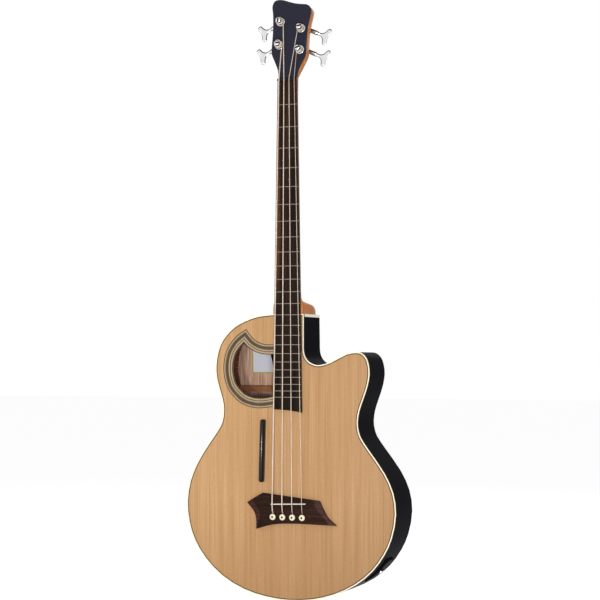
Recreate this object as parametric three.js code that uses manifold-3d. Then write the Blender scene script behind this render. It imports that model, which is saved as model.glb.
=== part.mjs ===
// Acoustic bass guitar: a cutaway body with an offset sound hole, a bolted neck and four geared tuners.
// Millimetres. +Z runs up the neck, the strings face -Y, and the treble side is +X.
// The origin is on the centre line, where the nut meets the board, level with the front of the soundboard.
import * as THREE from 'three';
import { mergeVertices } from 'three/addons/utils/BufferGeometryUtils.js';
import Module from 'manifold-3d';

const wasm = await Module();
wasm.setup();

// Fits and cuts
const seat = 0.3;
const overrun = 4;
const mergeDistance = 0.001;

// Strings, from the lowest to the highest
const scaleLength = 863.6;
const stringDiameterE = 2.67;
const stringDiameterA = 2.16;
const stringDiameterD = 1.65;
const stringDiameterG = 1.14;
const nutStringGap = 11.1;
const bridgeStringGap = 21.45;
const bridgeOffset = 1.6;

// Body
const jointLine = 14;
const jointRise = 1.7;
const bodyLengthShare = 0.681;
const lowerBoutWidth = 460;
const neckReveal = 5.5;
const bodyDepthNeck = 94;
const bodyDepthTail = 118;
const topThickness = 3;
const backThickness = 3;
const rimThickness = 2.8;
const bindingWidth = 2.2;
const bindingDepth = 6;
const liningWidth = 8;
const liningDepth = 14;
const neckBlockWidth = 68;
const neckBlockLength = 42;
const tailBlockWidth = 80;
const tailBlockLength = 26;

// Braces and plates inside the body
const braceWidth = 12;
const braceDepth = 15;
const braceDrop = 6;
const bridgePlateWidth = 104;
const bridgePlateLength = 50;
const bridgePlateThickness = 3;
const labelWidth = 95;
const labelHeight = 70;
const labelThickness = 0.4;

// Sound hole and the rosette round it
const rosetteRight = 2;
const rosetteWidth = 21.4;
const rosetteDepth = 1;

// Neck, board and nut
const nutWidth = 41.6;
const boardWidthLast = 62.2;
const lineCount = 24;
const boardThickness = 7;
const boardRadius = 400;
const boardOverhang = 25;
const boardSlant = 6.2;
const neckDepthNut = 14;
const neckDepthHeel = 16.5;
const heelLength = 46;
const heelReveal = 1.2;
const nutLength = 4.7;
const nutSlotHeight = 8;
const nutCrown = 1.2;
const rodRadius = 2.8;
const rodEndRadius = 3.6;
const rodChannelDepth = 9;
const rodNutGap = 20;
const rodHeelGap = 14;
const boltRadius = 3;
const boltHeadRadius = 6;
const boltHeadHeight = 4;
const boltGrip = 13;
const boltFront = 30;
const boltBack = 62;

// Headstock
const headstockTilt = THREE.MathUtils.degToRad(9);
const headstockLength = 170;
const headstockHalf = 44;
const headstockThickness = 16;
const headstockBlend = 24;
const veneerThickness = 1.7;
const nutShelf = 0.8;

// Tuners
const postSpread = 22.9;
const keyAngle = THREE.MathUtils.degToRad(24.3);
const postRadius = 5.9;
const postWaistRadius = 5;
const postCapRadius = 5.7;
const postHeight = 15.4;
const postCapHeight = 1.3;
const postSlotWidth = 3.6;
const postSlotDepth = 8;
const postPivotRadius = 2.6;
const ferruleRadius = 9.4;
const ferruleFlange = 1.5;
const ferruleSleeveRadius = 7.4;
const ferruleSleeveLength = 11;
const gearTeeth = 14;
const gearModule = 0.66;
const gearThickness = 4.6;
const gearBack = 5.2;
const wormPitchRadius = 2.5;
const threadHalfLength = 3.4;
const toothAddendum = 0.52;
const toothDedendum = 0.68;
const toothBacklash = 0.44;
const toothFlank = THREE.MathUtils.degToRad(22);
const housingWall = 1.8;
const housingRoom = 0.46;
const housingCorner = 2.5;
const journalRadius = 3.3;
const keyShaftRadius = 4.6;
const keyShaftLength = 30;
const keyWingLength = 26;
const keyHalfSpan = 18;
const keyThickness = 3.2;

// String turns on the posts
const turnClearance = 0.45;
const turnPitchGap = 0.6;
const turnBendShare = 0.75;
const levelRun = 9;
const fixedTurn = THREE.MathUtils.degToRad(240);

// Bridge, saddle and pins
const bridgeWidth = 196.6;
const bridgeHeight = 74.4;
const bridgeThickness = 7.6;
const bridgeLeft = 89.6;
const bridgeUp = 18.8;
const bridgeFacetSlope = 0.26;
const saddleLength = 76;
const saddleThickness = 3;
const saddleHeight = 10.6;
const saddleFloor = 2.6;
const saddleSlant = 2.4;
const saddleOffset = 3.4;
const pickupThickness = 1.4;
const pinDrop = 29.8;
const pinHeadRadius = 6;
const pinHeadHeight = 4.2;
const pinDotRadius = 2;
const pinDotDepth = 0.6;
const pinShankRadius = 3.4;
const pinTipRadius = 2.6;
const pinLength = 20;
const notchFloor = 2.6;

// Fittings on the body
const thumbrestWidth = 11;
const thumbrestHeight = 12;
const thumbrestSlant = 3.7;
const buttonRadius = 7;
const buttonWaistRadius = 4;
const buttonHeight = 13;
const buttonLip = 2.5;
const buttonStemRadius = 2.2;
const buttonStemLength = 20;
const heelButtonDown = 24;
const jackAngle = THREE.MathUtils.degToRad(-37.1);
const jackPlateLength = 66;
const jackPlateWidth = 42;
const jackPlateThickness = 2.4;
const jackDepth = 60;
const jackBarrelRadius = 5.6;
const jackBarrelLength = 24;
const jackNutRadius = 7.4;
const jackNutHeight = 3;
const jackBoreRadius = 3.2;
const jackBoreDepth = 20;

// Facets
const roundSides = 12;
const neckSides = 12;
const stringSides = 6;
const turnSteps = 16;
const threadSteps = 10;
const keyShaftSides = 10;

// Outlines, as shares of the sizes they follow
const shoulderShares = [
  [-0.150, 0], [-0.285, 0.005], [-0.423, 0.022], [-0.520, 0.042], [-0.610, 0.075], [-0.664, 0.107],
  [-0.699, 0.156], [-0.706, 0.205], [-0.680, 0.253], [-0.642, 0.301], [-0.630, 0.338], [-0.646, 0.379],
  [-0.690, 0.410],
];
const bassBoutShares = [
  [-0.779, 0.458], [-0.887, 0.523], [-0.960, 0.589], [-0.991, 0.663], [-0.972, 0.737], [-0.917, 0.800],
  [-0.812, 0.863], [-0.641, 0.925], [-0.429, 0.969], [-0.207, 0.992],
];
const trebleBoutShares = [
  [0.227, 0.994], [0.440, 0.972], [0.641, 0.933], [0.791, 0.885], [0.902, 0.827], [0.969, 0.770],
  [1.008, 0.687], [0.983, 0.615], [0.905, 0.549], [0.755, 0.468],
];
const cutawayShares = [
  [0.631, 0.428], [0.604, 0.402], [0.596, 0.373], [0.614, 0.335], [0.657, 0.294], [0.700, 0.253],
  [0.724, 0.211], [0.718, 0.182], [0.698, 0.158], [0.667, 0.144], [0.627, 0.135], [0.565, 0.133],
  [0.474, 0.138], [0.297, 0.167], [0.210, 0.176], [0.144, 0.178], [0.066, 0.168], [0.024, 0.153],
  [0.002, 0.131], [0, 0.100], [0, 0],
];
const rosetteSize = { spanShare: 0.638, heightShare: 0.279, downShare: 0.051 };
const rosetteShares = [
  [0.650, 0], [0.735, 0.046], [0.859, 0.140], [0.953, 0.271], [0.990, 0.390], [1, 0.489], [0.988, 0.603],
  [0.940, 0.745], [0.851, 0.848], [0.735, 0.936], [0.595, 0.983], [0.456, 1], [0.274, 0.985], [0, 0.925],
];
const rosetteTopShares = [
  [0, 0.192], [0.274, 0.193], [0.364, 0.190], [0.453, 0.168], [0.542, 0.118], [0.650, 0],
];
const crossBraceShares = { top: [0.548, 0.349], bottom: [0.652, 0.769] };
const labelShares = [-0.518, 0.089];
const thumbrestShares = { top: [-0.235, 0.368], length: 0.220 };
const headstockShares = [
  [-0.511, 0.096], [-0.609, 0.161], [-0.752, 0.240], [-0.886, 0.318], [-0.900, 0.408], [-0.886, 0.580],
  [-0.916, 0.765], [-0.950, 0.843], [-0.993, 0.908], [-0.955, 0.958], [-0.859, 0.990], [-0.636, 1],
  [-0.402, 0.988], [-0.091, 0.959], [0.216, 0.937], [0.518, 0.925], [0.670, 0.920], [0.825, 0.905],
  [0.939, 0.869], [0.984, 0.843], [0.948, 0.767], [0.868, 0.655], [0.834, 0.516], [0.836, 0.400],
  [0.841, 0.306], [0.786, 0.252], [0.652, 0.178], [0.525, 0.105],
];
const bridgeShares = {
  leftTip: [0, 0.276],
  topLeft: [0.180, 0],
  topRight: [0.812, 0.180],
  rightEdge: [[0.858, 0.427], [0.904, 0.630]],
  rightTip: [1, 0.844],
  bottomEdge: [[0.760, 0.828], [0.509, 0.822], [0.300, 0.862]],
  bottomLeft: [0.111, 1],
  leftEdge: [[0.107, 0.704], [0.075, 0.496]],
};
const leftRidgeShares = [[0.076, 0.195], [0.156, 0.555], [0.131, 0.887]];
const rightRidgeShares = [[0.758, 0.224], [0.774, 0.375], [0.866, 0.646]];
const keyWingShares = [
  [0, 0.17], [0.26, 0.20], [0.44, 0.36], [0.56, 0.64], [0.62, 0.90], [0.74, 1], [0.90, 0.96], [0.99, 0.80],
  [0.97, 0.56], [0.91, 0.28], [0.88, 0],
];
const heelShares = [
  [1, 0, 1], [0.70, 0.05, 0.95], [0.575, 0.15, 0.80], [0.51, 0.40, 0.55], [0.46, 0.68, 0.45],
  [0.39, 0.87, 0.38], [0.28, 0.955, 0.34], [0.16, 0.99, 0.33], [0, 1, 0.33],
];
const neckEndShares = [[-1.4, 1], [-0.7, 0.8], [0, 0.6]];
const headstockRootShares = [[0.45, 0.4], [1, 0.25]];
const tunerShares = { e: 0.423, a: 0.715, d: 0.618, g: 0.350 };
const backBraceShares = [0.263, 0.539, 0.798];

// Sizes worked out from the ones above
const lineAt = (line) => scaleLength * (1 - 2 ** (-line / 12));
const lastLine = lineAt(lineCount);
const neckJoint = lineAt(jointLine) - jointRise;
const bodyLength = bodyLengthShare * scaleLength;
const halfBout = lowerBoutWidth / 2;
const tailZ = -neckJoint - bodyLength;
const halfBoard = (z) => (nutWidth - (boardWidthLast - nutWidth) * z / lastLine) / 2;
const neckSide = halfBoard(-neckJoint) + neckReveal;
const backPlane = (x, z) => {
  const share = (-z - neckJoint) / bodyLength;
  return bodyDepthNeck + (bodyDepthTail - bodyDepthNeck) * share;
};
const backTilt = Math.atan2(bodyDepthTail - bodyDepthNeck, bodyLength);
const heelDepth = bodyDepthNeck - seat;
const bodyPlace = ([x, down]) => [x * halfBout, -neckJoint - down * bodyLength];
const labelPlace = bodyPlace(labelShares);
const thumbrestPlace = bodyPlace(thumbrestShares.top);
const thumbrestLength = thumbrestShares.length * bodyLength;
const flat = (y) => () => y;
const behindBack = (depth) => (x, z) => backPlane(x, z) - depth;
const topInside = topThickness + seat;
const backInside = backThickness + seat;
const nutEnd = seat + nutLength;
const headstockFoot = nutEnd + nutShelf;
const bridgeTop = seat + bridgeThickness;
const saddleZ = -scaleLength;
const pinZ = saddleZ - pinDrop;
const gearPitchRadius = gearTeeth * gearModule / 2;
const threadPitch = Math.PI * gearModule;
const gearTipRadius = gearPitchRadius + toothAddendum;
const wormTipRadius = wormPitchRadius + toothAddendum;
const wormRootRadius = wormPitchRadius - toothDedendum;
const wormOffset = gearPitchRadius + wormPitchRadius;
const toothPitchWidth = (threadPitch - toothBacklash) / 2;
const toothTipWidth = toothPitchWidth - 2 * toothAddendum * Math.tan(toothFlank);
const toothRootWidth = toothPitchWidth + 2 * toothDedendum * Math.tan(toothFlank);
const gearY = headstockThickness + gearBack;
const ferruleFront = 2 * seat + veneerThickness + ferruleFlange;

// Bodies and booleans

function outward(geometry) {
  const at = geometry.attributes.position;
  const corner = [new THREE.Vector3(), new THREE.Vector3(), new THREE.Vector3()];
  const index = Array.from(geometry.index.array);
  let volume = 0;
  for (let i = 0; i < index.length; i += 3) {
    corner.forEach((point, k) => point.fromBufferAttribute(at, index[i + k]));
    volume += corner[0].dot(corner[1].cross(corner[2]));
  }
  if (volume < 0) geometry.setIndex(index.reverse());
  return geometry;
}

function closed(geometry) {
  const bare = new THREE.BufferGeometry();
  bare.setAttribute('position', geometry.attributes.position.clone());
  if (geometry.index) bare.setIndex(geometry.index.clone());
  const merged = mergeVertices(bare, mergeDistance);
  const index = [];
  for (let i = 0; i < merged.index.count; i += 3) {
    const [a, b, c] = [0, 1, 2].map((k) => merged.index.getX(i + k));
    if (a !== b && b !== c && c !== a) index.push(a, b, c);
  }
  merged.setIndex(index);
  return outward(merged);
}

function toManifold(geometry) {
  const shape = closed(geometry);
  const vertProperties = Float32Array.from(shape.attributes.position.array);
  const triVerts = Uint32Array.from(shape.index.array);
  return new wasm.Manifold(new wasm.Mesh({ numProp: 3, vertProperties, triVerts }));
}

function fromManifold(solid) {
  const mesh = solid.getMesh();
  const geometry = new THREE.BufferGeometry();
  geometry.setAttribute('position', new THREE.BufferAttribute(mesh.vertProperties, 3));
  geometry.setIndex(new THREE.BufferAttribute(mesh.triVerts, 1));
  return geometry;
}

function cut(geometry, ...tools) {
  return fromManifold(tools.reduce((solid, tool) => solid.subtract(toManifold(tool)), toManifold(geometry)));
}

function join(geometry, ...others) {
  return fromManifold(others.reduce((solid, other) => solid.add(toManifold(other)), toManifold(geometry)));
}

function common(geometry, other) {
  return fromManifold(toManifold(geometry).intersect(toManifold(other)));
}

// Shapes

// A flat piece: an outline in X and Z that runs from its back surface to its front one.
function plate(outline, holes, front, back) {
  const shape = new THREE.Shape(outline);
  shape.holes = holes.map((hole) => new THREE.Path(hole));
  const geometry = new THREE.ExtrudeGeometry(shape, { depth: 1, bevelEnabled: false });
  const at = geometry.attributes.position;
  for (let i = 0; i < at.count; i += 1) {
    const [x, z, share] = [at.getX(i), at.getY(i), at.getZ(i)];
    const far = back(x, z);
    at.setXYZ(i, x, far + share * (front(x, z) - far), z);
  }
  return geometry;
}

// A solid through rings of points. Each ring is convex and has as many points as the one before.
function loft(rings) {
  const count = rings[0].length;
  const last = (rings.length - 1) * count;
  const index = [];
  for (let start = 0; start < last; start += count) {
    for (let k = 0; k < count; k += 1) {
      const [a, b] = [start + k, start + (k + 1) % count];
      index.push(a, b, b + count, a, b + count, a + count);
    }
  }
  for (let k = 1; k + 1 < count; k += 1) {
    index.push(0, k + 1, k, last, last + k, last + k + 1);
  }
  const geometry = new THREE.BufferGeometry().setFromPoints(rings.flat());
  geometry.setIndex(index);
  return geometry;
}

// A round tube through points, with a ring square to the path at each of them.
function tube(points, radius, sides) {
  const rings = [];
  let across = new THREE.Vector3(1, 0, 0);
  points.forEach((point, i) => {
    const before = points[Math.max(i - 1, 0)];
    const after = points[Math.min(i + 1, points.length - 1)];
    const along = after.clone().sub(before).normalize();
    across = across.clone().addScaledVector(along, -across.dot(along)).normalize();
    const up = along.clone().cross(across);
    const ring = [];
    for (let k = 0; k < sides; k += 1) {
      const angle = 2 * Math.PI * k / sides;
      ring.push(point.clone()
        .addScaledVector(across, radius * Math.cos(angle))
        .addScaledVector(up, radius * Math.sin(angle)));
    }
    rings.push(ring);
  });
  return loft(rings);
}

// A turned piece. Its profile pairs a radius with a place along the axis.
function turned(profile, sides = roundSides) {
  return new THREE.LatheGeometry(profile.map(([radius, along]) => new THREE.Vector2(radius, along)), sides);
}

function block(x0, x1, y0, y1, z0, z1) {
  const geometry = new THREE.BoxGeometry(x1 - x0, y1 - y0, z1 - z0);
  return geometry.translate((x0 + x1) / 2, (y0 + y1) / 2, (z0 + z1) / 2);
}

// A round cutter or pin along Y, Z or X.
function roundY(radius, x, z, y0, y1, sides = roundSides) {
  return new THREE.CylinderGeometry(radius, radius, y1 - y0, sides).translate(x, (y0 + y1) / 2, z);
}

function roundZ(radius, x, y, z0, z1, sides = roundSides) {
  return roundY(radius, x, -y, z0, z1, sides).rotateX(Math.PI / 2);
}

function roundX(radius, y, z, x0, x1, sides = roundSides) {
  return roundY(radius, 0, 0, x0, x1, sides).rotateZ(-Math.PI / 2).translate(0, y, z);
}

// A smooth line through places given as X and Z.
function smooth(places, divisions = 2) {
  const points = places.map(([x, z]) => new THREE.Vector3(x, 0, z));
  const path = new THREE.CatmullRomCurve3(points, false, 'centripetal');
  return path.getPoints(divisions * (places.length - 1)).map((point) => new THREE.Vector2(point.x, point.z));
}

// An outline moved inward by a distance. The outline runs anticlockwise, seen from the front.
function inset(outline, distance) {
  return outline.map((point, i) => {
    const before = outline[(i + outline.length - 1) % outline.length];
    const after = outline[(i + 1) % outline.length];
    const a = point.clone().sub(before).normalize();
    const b = after.clone().sub(point).normalize();
    const normal = new THREE.Vector2(-a.y - b.y, a.x + b.x);
    return point.clone().addScaledVector(normal, distance / (1 + a.dot(b)));
  });
}

// How far a point is from an outline.
function edgeDistance(point, outline) {
  return Math.min(...outline.map((a, i) => {
    const side = outline[(i + 1) % outline.length].clone().sub(a);
    const share = THREE.MathUtils.clamp(point.clone().sub(a).dot(side) / side.lengthSq(), 0, 1);
    return point.distanceTo(side.multiplyScalar(share).add(a));
  }));
}

function rectangle(x0, x1, z0, z1) {
  return [[x0, z0], [x1, z0], [x1, z1], [x0, z1]].map(([x, z]) => new THREE.Vector2(x, z));
}

function roundedRectangle(x0, x1, z0, z1, radius, steps = 2) {
  const points = [];
  const centres = [[x1, z1, 1, 1], [x0, z1, -1, 1], [x0, z0, -1, -1], [x1, z0, 1, -1]];
  centres.forEach(([x, z, right, up], corner) => {
    for (let k = 0; k <= steps; k += 1) {
      const angle = Math.PI / 2 * (corner + k / steps);
      const dx = radius * (Math.cos(angle) - right);
      const dz = radius * (Math.sin(angle) - up);
      points.push(new THREE.Vector2(x + dx, z + dz));
    }
  });
  return points;
}

// A half-round section at height z: flat in front, bulging by its depth behind. Squareness 1 is an ellipse.
function archRing(z, half, depth, squareness, base = 0) {
  const ring = [];
  for (let k = 0; k <= neckSides; k += 1) {
    const angle = Math.PI * k / neckSides;
    const x = -half * Math.sign(Math.cos(angle)) * Math.abs(Math.cos(angle)) ** squareness;
    ring.push(new THREE.Vector3(x, base + depth * Math.abs(Math.sin(angle)) ** squareness, z));
  }
  return ring;
}

// Body outline, anticlockwise from the corner beside the neck

const cutawayPlace = ([x, down]) => [neckSide + x * (halfBout - neckSide), -neckJoint - down * bodyLength];
const bodyCorner = new THREE.Vector2(neckSide, -neckJoint);
const bodyOutline = [bodyCorner, ...smooth([
  ...[...shoulderShares, ...bassBoutShares, [0, 1], ...trebleBoutShares].map(bodyPlace),
  ...cutawayShares.map(cutawayPlace),
]).slice(0, -1)];

// Where a ray from the middle of the lower bout crosses the body outline, and the way out of the body there.
function outlineAt(angle) {
  const centre = new THREE.Vector2(...bodyPlace([0, bassBoutShares[3][1]]));
  const ray = new THREE.Vector2(Math.cos(angle), Math.sin(angle));
  for (let i = 0; i < bodyOutline.length; i += 1) {
    const a = bodyOutline[i].clone().sub(centre);
    const b = bodyOutline[(i + 1) % bodyOutline.length].clone().sub(centre);
    const [sideA, sideB] = [ray.cross(a), ray.cross(b)];
    if (sideA < 0 && sideB >= 0 && a.dot(ray) > 0) {
      const point = a.clone().lerp(b, sideA / (sideA - sideB)).add(centre);
      const along = b.sub(a).normalize();
      return { point, out: new THREE.Vector2(along.y, -along.x) };
    }
  }
  return null;
}

// Sound hole

const rosettePlace = ([x, down]) => [
  rosetteRight - x * rosetteSize.spanShare * halfBout,
  -neckJoint - (rosetteSize.downShare + down * rosetteSize.heightShare) * bodyLength,
];
const rosetteOutline = [
  ...smooth(rosetteShares.map(rosettePlace)),
  ...smooth(rosetteTopShares.map(rosettePlace)).slice(0, -1),
];
const soundHole = inset(rosetteOutline, rosetteWidth).filter((point) => (
  edgeDistance(point, rosetteOutline) > rosetteWidth - seat
));

// Strings in order, with their places on the nut, the saddle and the headstock

const strings = [
  { name: 'e', diameter: stringDiameterE, hand: -1, turns: 1.75 },
  { name: 'a', diameter: stringDiameterA, hand: -1, turns: 2 },
  { name: 'd', diameter: stringDiameterD, hand: 1, turns: 2.75 },
  { name: 'g', diameter: stringDiameterG, hand: 1, turns: 3.25 },
].map((string, i, all) => {
  const order = i - (all.length - 1) / 2;
  const radius = string.diameter / 2;
  return {
    ...string,
    radius,
    nutX: order * nutStringGap,
    bridgeX: bridgeOffset + order * bridgeStringGap,
    postX: string.hand * postSpread,
    postZ: tunerShares[string.name] * headstockLength,
    turnRadius: postWaistRadius + turnClearance + radius,
    turnPitch: string.diameter + turnPitchGap,
    turnY: -(ferruleFront + seat + radius),
  };
});

// The headstock's own frame: its face is the plane y = 0 and its z runs up the face.
const headstockPlace = new THREE.Matrix4().makeRotationX(-headstockTilt).setPosition(0, 0, headstockFoot);
const onHeadstock = (geometry) => geometry.clone().applyMatrix4(headstockPlace);

// Body pieces

// The four pin holes, through whatever lies between two depths.
function pinHoles(front, back) {
  const radius = pinShankRadius + seat;
  return strings.map(({ bridgeX }) => roundY(radius, bridgeX, pinZ, front - overrun, back + overrun));
}

function makeSoundboard() {
  const recess = plate(rosetteOutline, [], flat(-overrun), flat(rosetteDepth + seat));
  const board = plate(inset(bodyOutline, bindingWidth + seat), [soundHole], flat(0), flat(topThickness));
  return cut(board, recess, ...pinHoles(0, topThickness));
}

function makeRosette() {
  return plate(inset(rosetteOutline, seat), [soundHole], flat(0), flat(rosetteDepth));
}

function makeBack() {
  const outline = inset(bodyOutline, bindingWidth + seat);
  const board = plate(outline, [], behindBack(backThickness), backPlane);
  return cut(board, heelButtonPart(roundY(buttonStemRadius + seat, 0, 0, -buttonStemLength, overrun)));
}

function bodyRing(outer, width, front, back) {
  return plate(inset(bodyOutline, outer), [inset(bodyOutline, outer + width)], front, back);
}

function makeLining(front, back) {
  return bodyRing(rimThickness + seat, liningWidth, front, back);
}

function boltPlaces() {
  return [boltFront, boltBack];
}

function boltHoles(radius) {
  const low = -neckJoint - neckBlockLength - overrun * 2;
  return boltPlaces().map((y) => roundZ(radius, 0, y, low, -neckJoint + overrun, keyShaftSides));
}

function makeRim() {
  const rim = bodyRing(0, rimThickness, flat(bindingDepth + seat), behindBack(bindingDepth + seat));
  const tailHole = tailButtonPart(roundY(buttonStemRadius + seat, 0, 0, -buttonStemLength, overrun));
  const jackHole = jackPart(roundY(jackBarrelRadius + seat, 0, 0, -jackBarrelLength, overrun));
  return cut(rim, tailHole, jackHole, ...boltHoles(boltRadius + seat));
}

// The two linings, grown by the seat on every side, for what has to clear them.
function liningCutters() {
  const outer = rimThickness;
  const width = liningWidth + 2 * seat;
  return [
    bodyRing(outer, width, flat(0), flat(topInside + liningDepth + seat)),
    bodyRing(outer, width, behindBack(backInside + liningDepth + seat), backPlane),
  ];
}

function insideBody(x0, x1, z0, z1, front, back) {
  const inner = plate(inset(bodyOutline, rimThickness + seat), [], front, back);
  return common(inner, block(x0, x1, -overrun, bodyDepthTail + overrun, z0, z1));
}

function makeNeckBlock() {
  const top = -neckJoint + overrun;
  const body = insideBody(-neckBlockWidth / 2, neckSide, -neckJoint - neckBlockLength, top,
    flat(topInside), behindBack(backInside));
  const buttonHole = heelButtonPart(roundY(buttonStemRadius + seat, 0, 0, -buttonStemLength - seat, overrun));
  return cut(body, ...liningCutters(), ...boltHoles(boltRadius + seat), buttonHole);
}

function makeTailBlock() {
  const bottom = tailZ - overrun;
  const top = tailZ + rimThickness + tailBlockLength;
  const body = insideBody(-tailBlockWidth / 2, tailBlockWidth / 2, bottom, top,
    flat(topInside), behindBack(backInside));
  const buttonHole = tailButtonPart(roundY(buttonStemRadius + seat, 0, 0, -buttonStemLength - seat, overrun));
  return cut(body, ...liningCutters(), buttonHole);
}

function makeBackBrace(share) {
  const z = -neckJoint - share * bodyLength;
  const inner = inset(bodyOutline, rimThickness + liningWidth + 2 * seat);
  const layer = plate(inner, [], behindBack(backInside + braceDepth), behindBack(backInside));
  const half = braceWidth / 2;
  return common(layer, block(-halfBout, halfBout, -overrun, bodyDepthTail, z - half, z + half));
}

function makeCrossBrace() {
  const [[topX, topZ], [bottomX, bottomZ]] = [crossBraceShares.top, crossBraceShares.bottom].map(bodyPlace);
  const bars = [1, -1].map((side) => {
    const foot = new THREE.Vector2(-side * bottomX, bottomZ);
    const head = new THREE.Vector2(side * topX, topZ);
    const half = head.clone().sub(foot).normalize().multiplyScalar(braceWidth / 2);
    const across = new THREE.Vector2(-half.y, half.x);
    const left = [head.clone().add(across), foot.clone().add(across)];
    const outline = [foot.clone().sub(across), head.clone().sub(across), ...left];
    return plate(outline, [], flat(topInside), flat(topInside + braceDepth));
  });
  return join(...bars);
}

function makeBridgePlate() {
  const top = saddleZ + braceDrop;
  const outline = rectangle(-bridgePlateWidth / 2, bridgePlateWidth / 2, top - bridgePlateLength, top);
  const back = topInside + bridgePlateThickness;
  return cut(plate(outline, [], flat(topInside), flat(back)), ...pinHoles(topInside, back));
}

function makeLabel() {
  const [left, top] = labelPlace;
  const outline = rectangle(left, left + labelWidth, top - labelHeight, top);
  return plate(outline, [], behindBack(backInside + labelThickness), behindBack(backInside));
}

// Neck pieces

function makeNeck() {
  const rings = heelShares.map(([along, deep, squareness]) => {
    const z = -neckJoint + seat + along * heelLength;
    const half = halfBoard(z) + (neckSide - heelReveal - halfBoard(z)) * deep;
    return archRing(z, half, neckDepthHeel + (heelDepth - neckDepthHeel) * deep, squareness);
  }).reverse();
  const taper = neckEndShares.map(([along, squareness]) => {
    const z = along * headstockBlend;
    return archRing(z, halfBoard(z), neckDepthNut, squareness);
  });
  const foot = archRing(headstockFoot, nutWidth / 2, neckDepthNut, neckEndShares[2][1]);
  const roots = headstockRootShares.map(([along, squareness]) => {
    const z = along * headstockBlend;
    const ring = archRing(z, headstockWidthAt(z), headstockThickness, squareness);
    return ring.map((point) => point.applyMatrix4(headstockPlace));
  });
  const shaft = loft([...rings, ...taper, foot, ...roots]);
  const face = plate(smooth(headstockPlaces()), [], flat(0), flat(headstockThickness));
  const channel = block(-rodRadius - seat, rodRadius + seat, -overrun, rodChannelDepth,
    -neckJoint + rodHeelGap, -rodNutGap);
  const inserts = boltPlaces().map((y) => roundZ(boltRadius + seat, 0, y, -neckJoint - overrun,
    -neckJoint + boltGrip + seat, keyShaftSides));
  return cut(join(shaft, onHeadstock(face)), channel, ...inserts, ...postHoles().map(onHeadstock));
}

function headstockPlaces() {
  return headstockShares.map(([x, up]) => [x * headstockHalf, up * headstockLength]);
}

function headstockWidthAt(z) {
  const [[x, up]] = headstockShares;
  return nutWidth / 2 + (-x * headstockHalf - nutWidth / 2) * Math.min(z / (up * headstockLength), 1);
}

function postHoles() {
  return strings.map(({ postX, postZ }) => roundY(ferruleSleeveRadius + seat, postX, postZ,
    -veneerThickness - overrun, headstockThickness + overrun, roundSides));
}

function makeVeneer() {
  const places = headstockPlaces();
  const outline = [[-nutWidth / 2, nutShelf], ...places, [nutWidth / 2, nutShelf]];
  const sheet = plate(smooth(outline), [], flat(-seat - veneerThickness), flat(-seat));
  return cut(sheet, ...postHoles());
}

// The board's section is a slice of a wide cylinder. Its far end is slanted and slightly bowed.
function makeFingerboard() {
  const endZ = -lastLine - boardOverhang;
  const stations = [-1, -0.75, -0.5, -0.25, 0, 0.25, 0.5, 0.75, 1];
  const crown = (x) => boardRadius - Math.sqrt(boardRadius ** 2 - x ** 2);
  const rings = stations.map((share) => {
    const rise = (1 + share) / 2;
    const end = endZ - boardSlant * rise ** 2;
    const [nearX, farX] = [share * halfBoard(0), share * halfBoard(end)];
    return [
      new THREE.Vector3(nearX, -seat, 0),
      new THREE.Vector3(nearX, -seat - boardThickness + crown(nearX), 0),
      new THREE.Vector3(farX, -seat - boardThickness + crown(farX), end),
      new THREE.Vector3(farX, -seat, end),
    ];
  });
  return loft(rings);
}

function makeNut() {
  const top = nutSlotHeight + nutCrown;
  const body = block(-nutWidth / 2, nutWidth / 2, -top, -seat, seat, nutEnd);
  const slots = strings.map(({ nutX, radius }) => block(nutX - radius - seat, nutX + radius + seat,
    -top - overrun, -nutSlotHeight, -overrun, nutEnd + overrun));
  return cut(body, ...slots);
}

function makeTrussRod() {
  const [low, high] = [-neckJoint + rodHeelGap + seat, -rodNutGap - seat];
  const y = rodRadius + seat;
  return roundZ(rodRadius, 0, y, low, high, stringSides + 2);
}

function makeNeckBolt(y) {
  const headFace = -neckBlockLength - seat;
  const headEnd = headFace - boltHeadHeight;
  return turned([
    [0, boltGrip], [boltRadius, boltGrip], [boltRadius, headFace],
    [boltHeadRadius, headFace], [boltHeadRadius, headEnd], [0, headEnd],
  ], keyShaftSides).rotateX(Math.PI / 2).translate(0, y, -neckJoint);
}

// Bridge

const bridgePlace = ([x, down]) => [-bridgeLeft + x * bridgeWidth, saddleZ + bridgeUp - down * bridgeHeight];

function bridgeOutline() {
  const side = (...places) => smooth(places.map(bridgePlace), 3).slice(0, -1);
  const { leftTip, topLeft, topRight, rightEdge, rightTip, bottomEdge, bottomLeft, leftEdge } = bridgeShares;
  const edge = [leftTip, topLeft, topRight].map((place) => new THREE.Vector2(...bridgePlace(place)));
  return [
    edge[0], edge[1],
    ...side(topRight, ...rightEdge, rightTip),
    ...side(rightTip, ...bottomEdge, bottomLeft),
    ...side(bottomLeft, ...leftEdge, leftTip),
  ];
}

// The space over one wing's facet: it slopes down from a ridge of two straight stretches.
function wingCutter(ridgeShares, out) {
  const ridge = ridgeShares.map((place) => new THREE.Vector2(...bridgePlace(place)));
  const field = rectangle(-bridgeWidth, bridgeWidth, saddleZ - bridgeWidth, saddleZ + bridgeWidth);
  const wedges = [[ridge[0], ridge[1]], [ridge[1], ridge[2]]].map(([a, b]) => {
    const along = b.clone().sub(a).normalize();
    const beyond = (x, z) => out * (-along.y * (x - a.x) + along.x * (z - a.y));
    return plate(field, [], flat(-bridgeWidth), (x, z) => bridgeFacetSlope * beyond(x, z) - bridgeTop);
  });
  return common(...wedges);
}

function pinRise(radius) {
  const start = pinZ + pinHeadRadius;
  const climb = bridgeTop - notchFloor;
  return { start, end: start + (climb + 2 * radius) * 0.7, floor: -(notchFloor + seat + radius) };
}

function saddleAt(x) {
  return saddleZ - saddleSlant * (0.5 - (x - saddleOffset) / saddleLength) - saddleThickness / 2;
}

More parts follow.
